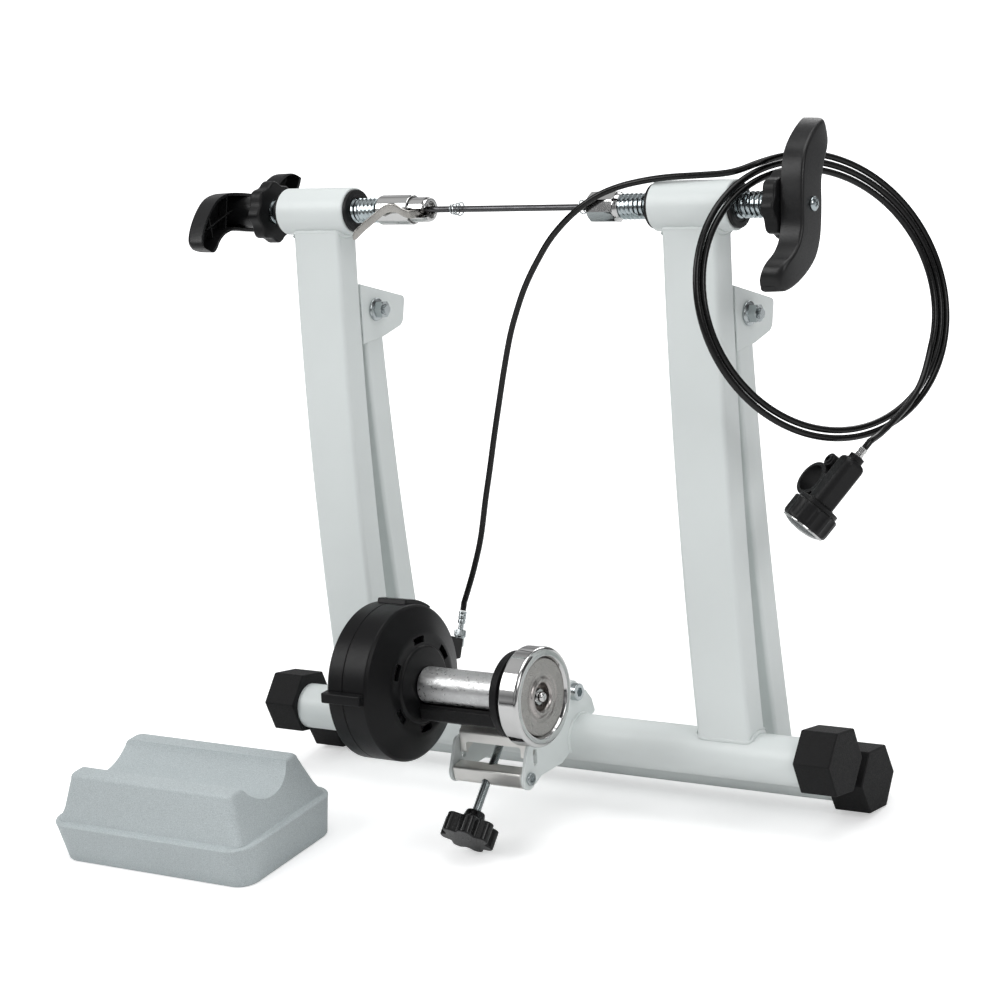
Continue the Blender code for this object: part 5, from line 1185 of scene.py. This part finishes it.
face = turned([(0.068, bore), (0.068, 0.0098), (0.0752, 0.0106, 0.0006), (0.0768, 0.012, 0.0008),
               (0.0768, 0.014, 0.001), (0.075, 0.016, 0.001), (0.075, 0.0186, 0.001), (0.0757, 0.02, 0.0006),
               (0.0759, f - 0.0092, 0.0006), (0.0745, f - 0.0084), (0.07, f - 0.0084), (0.064, bore)],
              HUB, X, 192, ring=True)
fitted("flywheel_face", face, SATIN_STEEL, "roller_shaft", "flywheel")
rim = turned([(0.06, bore), (0.0638, bore), (0.0698, f - 0.0083), (0.0746, f - 0.0083, 0.0003),
              (0.078, f - 0.0068, 0.001), (0.078, f - 0.002, 0.0014), (0.076, f, 0.0012), (0.0615, f, 0.0008),
              (0.06, f - 0.0015, 0.0008)], HUB, X, 192, ring=True)
fitted("chrome_flywheel", rim, CHROME, "roller_shaft", "flywheel")
dress("rotor_disc", ALUMINIUM)

# Tension screw
# A star knob of black nylon, moulded onto a fine plated screw that runs through the cross bar. On
# top of the screw sits a plated pad, which lifts the roller unit.
STAR_DROP, STAR_HEIGHT = 0.0583, 0.016
STAR_RADIUS, STAR_DIP, STAR_LOBES = 0.0222, 0.005, 7
top = SCREW_REACH
pad = turned([(top - 0.0025, 0), (top - 0.0025, 0.0038), (top - 0.006, 0.0038), (top - 0.006, 0.006, 0.0004),
              (top - 0.0015, 0.006, 0.0006), (top, 0.0045, 0.0004), (top, 0)], SCREW_FOOT, SCREW_AXIS, 40)
fitted("lift_pad", pad, ZINC, "screw_slide", "screw_pad")
knob_top = -STAR_DROP + STAR_HEIGHT + 0.009
screw = threaded(SCREW_RADIUS, SCREW_THREAD, SCREW_PITCH, knob_top - 0.0098, top - 0.0028,
                 SCREW_FOOT, SCREW_AXIS, 24)
fitted("tension_screw", screw, ZINC, "screw_axis", "adjusting_screw")
GLOSS = finish("gloss_black", (0.005, 0.005, 0.0053), 0.2, (30.0, 0.85), (500.0, 0.00003, 2.0),
               (0.16, 0.28), specular=0.42)
star_plan = polar(lambda a: STAR_RADIUS - STAR_DIP * ((1 - cos(STAR_LOBES * (a - pi / 2))) / 2) ** 1.6, 210)
star = slab(star_plan, -STAR_HEIGHT / 2, STAR_HEIGHT / 2, 0.0013,
            SCREW_FOOT + SCREW_AXIS * (-STAR_DROP + STAR_HEIGHT / 2), SCREW_AXES, steps=6)
collar = turned([(knob_top - 0.014, SCREW_RADIUS + GAP), (knob_top - 0.014, 0.0112),
                 (knob_top - 0.008, 0.0095, 0.003), (knob_top, 0.0075, 0.001),
                 (knob_top, SCREW_RADIUS + GAP)], SCREW_FOOT, SCREW_AXIS, 64, ring=True)
fitted("star_grip", joined(star, collar), GLOSS, "screw_axis", "star_knob")

# Shifter
# The handlebar remote: a black moulded body with a flat face, a clamp ring with its small screw ear,
# and a fluted dial with a chromed rim and a domed grey lens. A ferrule joins it to the jacket.
DIAL_RADIUS, DIAL_LENGTH, FLUTES = 0.019, 0.0215, 12
to_clamp = Vector((-0.655, -0.361, 0.66))
to_clamp = (to_clamp - SHIFTER_DOWN * to_clamp.dot(SHIFTER_DOWN)).normalized()
shifter_axes = (to_clamp, SHIFTER_DOWN.cross(to_clamp), SHIFTER_DOWN)
slant = radians(23)
third = shifter_axes[1]
bar_way = to_clamp * cos(slant) - third * sin(slant)
stand_off = third * cos(slant) + to_clamp * sin(slant)
length = (SHIFTER_FACE - SHIFTER_TOP).length
dial_start = length - DIAL_LENGTH
flat_way = radians(-115)


def case_ring(radius, flatness=0.84):
    """A round section with one broad flat and two narrow ones."""
    def reach_of(a):
        reach_now = radius
        for away, share in ((0.0, flatness), (pi / 2, 0.93), (-pi / 2, 0.93), (pi, 0.96)):
            slope = cos(a - flat_way - away)
            if slope > 0.05:
                reach_now = min(reach_now, radius * share / slope)
        return reach_now
    return polar(reach_of, 72)


ferrule = turned([(0, 0), (0, 0.0032, 0.0003), (0.003, 0.0032, 0.0002), (0.0033, 0.0028), (0.0042, 0.0028),
                  (0.0045, 0.0032, 0.0002), (0.0072, 0.0032), (0.0072, 0)], SHIFTER_TOP, SHIFTER_DOWN, 40)
ferrule_piece = fitted("cable_ferrule", ferrule, CHROME, "front_frame")
case = stacked([(0.0068, case_ring(0.0034, 1)), (0.0073, case_ring(0.0054, 1)),
                (0.0076, case_ring(0.006, 1)), (0.011, case_ring(0.006, 1)),
                (0.0116, case_ring(0.0066, 0.95)), (0.0122, case_ring(0.0084)),
                (0.0134, case_ring(0.0097)), (0.015, case_ring(0.0103)),
                (0.017, case_ring(0.0105)), (dial_start - 0.005, case_ring(0.0105)),
                (dial_start - 0.0042, case_ring(0.0118, 0.92)), (dial_start - 0.0036, case_ring(0.0158, 1)),
                (dial_start - 0.0032, case_ring(0.0165, 1)), (dial_start - GAP, case_ring(0.0165, 1))],
               SHIFTER_TOP, shifter_axes)
bridge_at = SHIFTER_TOP + SHIFTER_DOWN * 0.04
ring_at = bridge_at + stand_off * 0.0245 - bar_way * 0.002
ear_at = SHIFTER_TOP + SHIFTER_DOWN * 0.0208 + stand_off * 0.0213 - bar_way * 0.0014
band = turned([(-0.008, 0.0112), (-0.008, 0.0145, 0.0012), (0.008, 0.0145, 0.0012), (0.008, 0.0112)],
              ring_at, bar_way, 96, ring=True)
ear = turned([(-0.0068, 0.003), (-0.0068, 0.0055, 0.0008), (0.0068, 0.0055, 0.0008), (0.0068, 0.003)],
             ear_at, bar_way, 40, ring=True)
bridge = slab(oblong(0.007, 0.009, 0.002, 4), 0.004, 0.012, 0.001, bridge_at,
              (bar_way, stand_off.cross(bar_way), stand_off))
body = fitted("shifter_case", joined(case, band, ear, bridge), MOULDED, "front_frame", "shifter_body")
ear_screw = joined(turned([(-0.007, 0), (-0.007, 0.0027, 0.0003), (0.0066, 0.0027), (0.0066, 0)],
                          ear_at, bar_way, 32),
                   socket_head(0.006, 0.0036, 0.002, ear_at, bar_way))
screw_piece = fitted("ear_screw", ear_screw, MOULDED, "front_frame")


def fluted(radius, depth):
    """The dial's section, with broad shallow flutes between narrow lands."""
    def reach_of(a):
        share = (a * FLUTES / tau) % 1
        dip = sin(pi * (share - 0.14) / 0.72) if 0.14 < share < 0.86 else 0
        return radius - depth * max(0.0, dip) ** 0.7
    return polar(reach_of, FLUTES * 14)


R = DIAL_RADIUS
wheel = stacked([(dial_start, fluted(R - 0.004, 0)), (dial_start, fluted(R - 0.0016, 0)),
                 (dial_start + 0.0004, fluted(R - 0.0006, 0.0002)), (dial_start + 0.0014, fluted(R, 0.0007)),
                 (dial_start + 0.004, fluted(R, 0.0012)),
                 (length - 0.0095, fluted(R, 0.0012)), (length - 0.0072, fluted(R - 0.0001, 0.0009)),
                 (length - 0.0058, fluted(R - 0.0006, 0.0004)), (length - 0.005, fluted(R - 0.0014, 0)),
                 (length - 0.0047, fluted(R - 0.0024, 0))], SHIFTER_TOP, shifter_axes)
dial = fitted("dial_grip", wheel, MOULDED, "shifter_dial_axis", "shifter_dial")
rim_ring = turned([(length - 0.0052, R - 0.0034), (length - 0.0052, R - 0.0018, 0.0003),
                   (length - 0.0038, R - 0.0014, 0.0005), (length - 0.0034, R - 0.003, 0.0004)],
                  SHIFTER_TOP, SHIFTER_DOWN, 96, ring=True)
rim_piece = fitted("dial_rim", rim_ring, CHROME, "shifter_dial_axis")
LENS = finish("dial_lens", (0.105, 0.11, 0.115), 0.14, (60.0, 0.8), (300.0, 0.00002, 2.0), coat=0.4)
lens_disc = turned([(length - 0.005, 0), (length - 0.005, R - 0.0034), (length - 0.004, R - 0.0033),
                    (length - 0.0026, R - 0.005, 0.004), (length - 0.001, R - 0.0095, 0.006),
                    (length - 0.0003, 0.003), (length - 0.0002, 0)], SHIFTER_TOP, SHIFTER_DOWN, 72)
lens_piece = fitted("dial_lens_disc", lens_disc, LENS, "shifter_dial_axis")

# Wheel block
# A loose rest for the front wheel: one hollow moulding of light grey plastic with a speckled, grainy
# skin, a flared foot, sloping sides and a round trough along its top.
BLOCK_AT = (-0.210014, -0.107588, 0)
HALF_L, HALF_W, BASE_TOP, BLOCK_TOP = 0.0995, 0.058, 0.035, 0.073
FLARE, STEP, DRAFT, DRAFT_START = 0.006, 0.0076, tan(radians(15.8)), 0.005
GREY = finish("speckled_grey", (0.5, 0.55, 0.56), 0.55, (10.0, 0.95), (620.0, 0.00022, 3.0), (0.44, 0.68),
              specular=0.4)
tree = GREY.node_tree
fine = add(tree, "Group", {"node_tree": GRAIN}, Scale=1500.0, Detail=2.0)
flecks = add(tree, "Mix", {"data_type": "RGBA"}, A=(0.4, 0.445, 0.455, 1), B=(0.56, 0.61, 0.62, 1))
wire(tree, (fine, "Mask", flecks, "Factor"), (flecks, "Result", tree.nodes["patches"], "Color"))


def pan(grow, corner):
    """The block's plan, grown by a distance."""
    return oblong(HALF_L + grow, HALF_W + grow, corner, 10)


layers = [(0.0, pan(-0.0015, 0.0145)), (0.0005, pan(-0.0006, 0.0154)), (0.0015, pan(0.0002, 0.016))]
layers += [(BASE_TOP * s, pan(FLARE * s, 0.016 + FLARE * s)) for s in (0.3, 0.6, 0.85)]
layers += [(BASE_TOP - 0.0012, pan(FLARE, 0.022)), (BASE_TOP - 0.0004, pan(FLARE - 0.0005, 0.0216)),
           (BASE_TOP, pan(FLARE - 0.0016, 0.0206)), (BASE_TOP, pan(FLARE - 0.0048, 0.018)),
           (BASE_TOP - 0.0004, pan(FLARE - 0.0062, 0.0165))]
skirt = FLARE - STEP
layers += [(BASE_TOP + 0.0002, pan(skirt, 0.006))]
for rise in (0.01, 0.02, 0.03):
    layers.append((BASE_TOP + rise, pan(skirt - (rise + DRAFT_START) * DRAFT, 0.006)))
ROUND_HEIGHT, ROUND_DEPTH = 0.0046, 0.0034
shoulder = skirt - (BLOCK_TOP - BASE_TOP + DRAFT_START - 0.004) * DRAFT
for k in range(6):
    a = k / 5 * pi / 2
    edge_in = shoulder - ROUND_DEPTH * (1 - cos(a))
    layers.append((BLOCK_TOP - ROUND_HEIGHT * (1 - sin(a)), pan(edge_in, 0.0056)))
outer_block = stacked(layers, BLOCK_AT, (X, Y, Z))
TROUGH_RADIUS, TROUGH_DEPTH, WALL = 0.0324, 0.018, 0.004
floor_at = BLOCK_TOP - TROUGH_DEPTH
trough_tool = cylinder(-0.15, 0.15, TROUGH_RADIUS, Vector(BLOCK_AT) + Z * (floor_at + TROUGH_RADIUS), X, 160)
under = stacked([(-0.001, pan(-WALL, 0.012)), (BASE_TOP - WALL, pan(-WALL + FLARE * 0.9, 0.012))],
                BLOCK_AT, (X, Y, Z))
inside = stacked([(BASE_TOP - WALL - 0.001, pan(skirt - WALL, 0.004)),
                  (floor_at - WALL, pan(skirt - WALL - (floor_at - BASE_TOP) * DRAFT, 0.004))],
                 BLOCK_AT, (X, Y, Z))
block = fitted("wheel_rest", cut_out(outer_block, trough_tool, under, inside), GREY,
               "block_lift", "wheel_block", leaned=False)
edge = block.modifiers.new("soft_edges", "BEVEL")
edge.width, edge.segments, edge.limit_method, edge.angle_limit = 0.0012, 3, "ANGLE", radians(38)
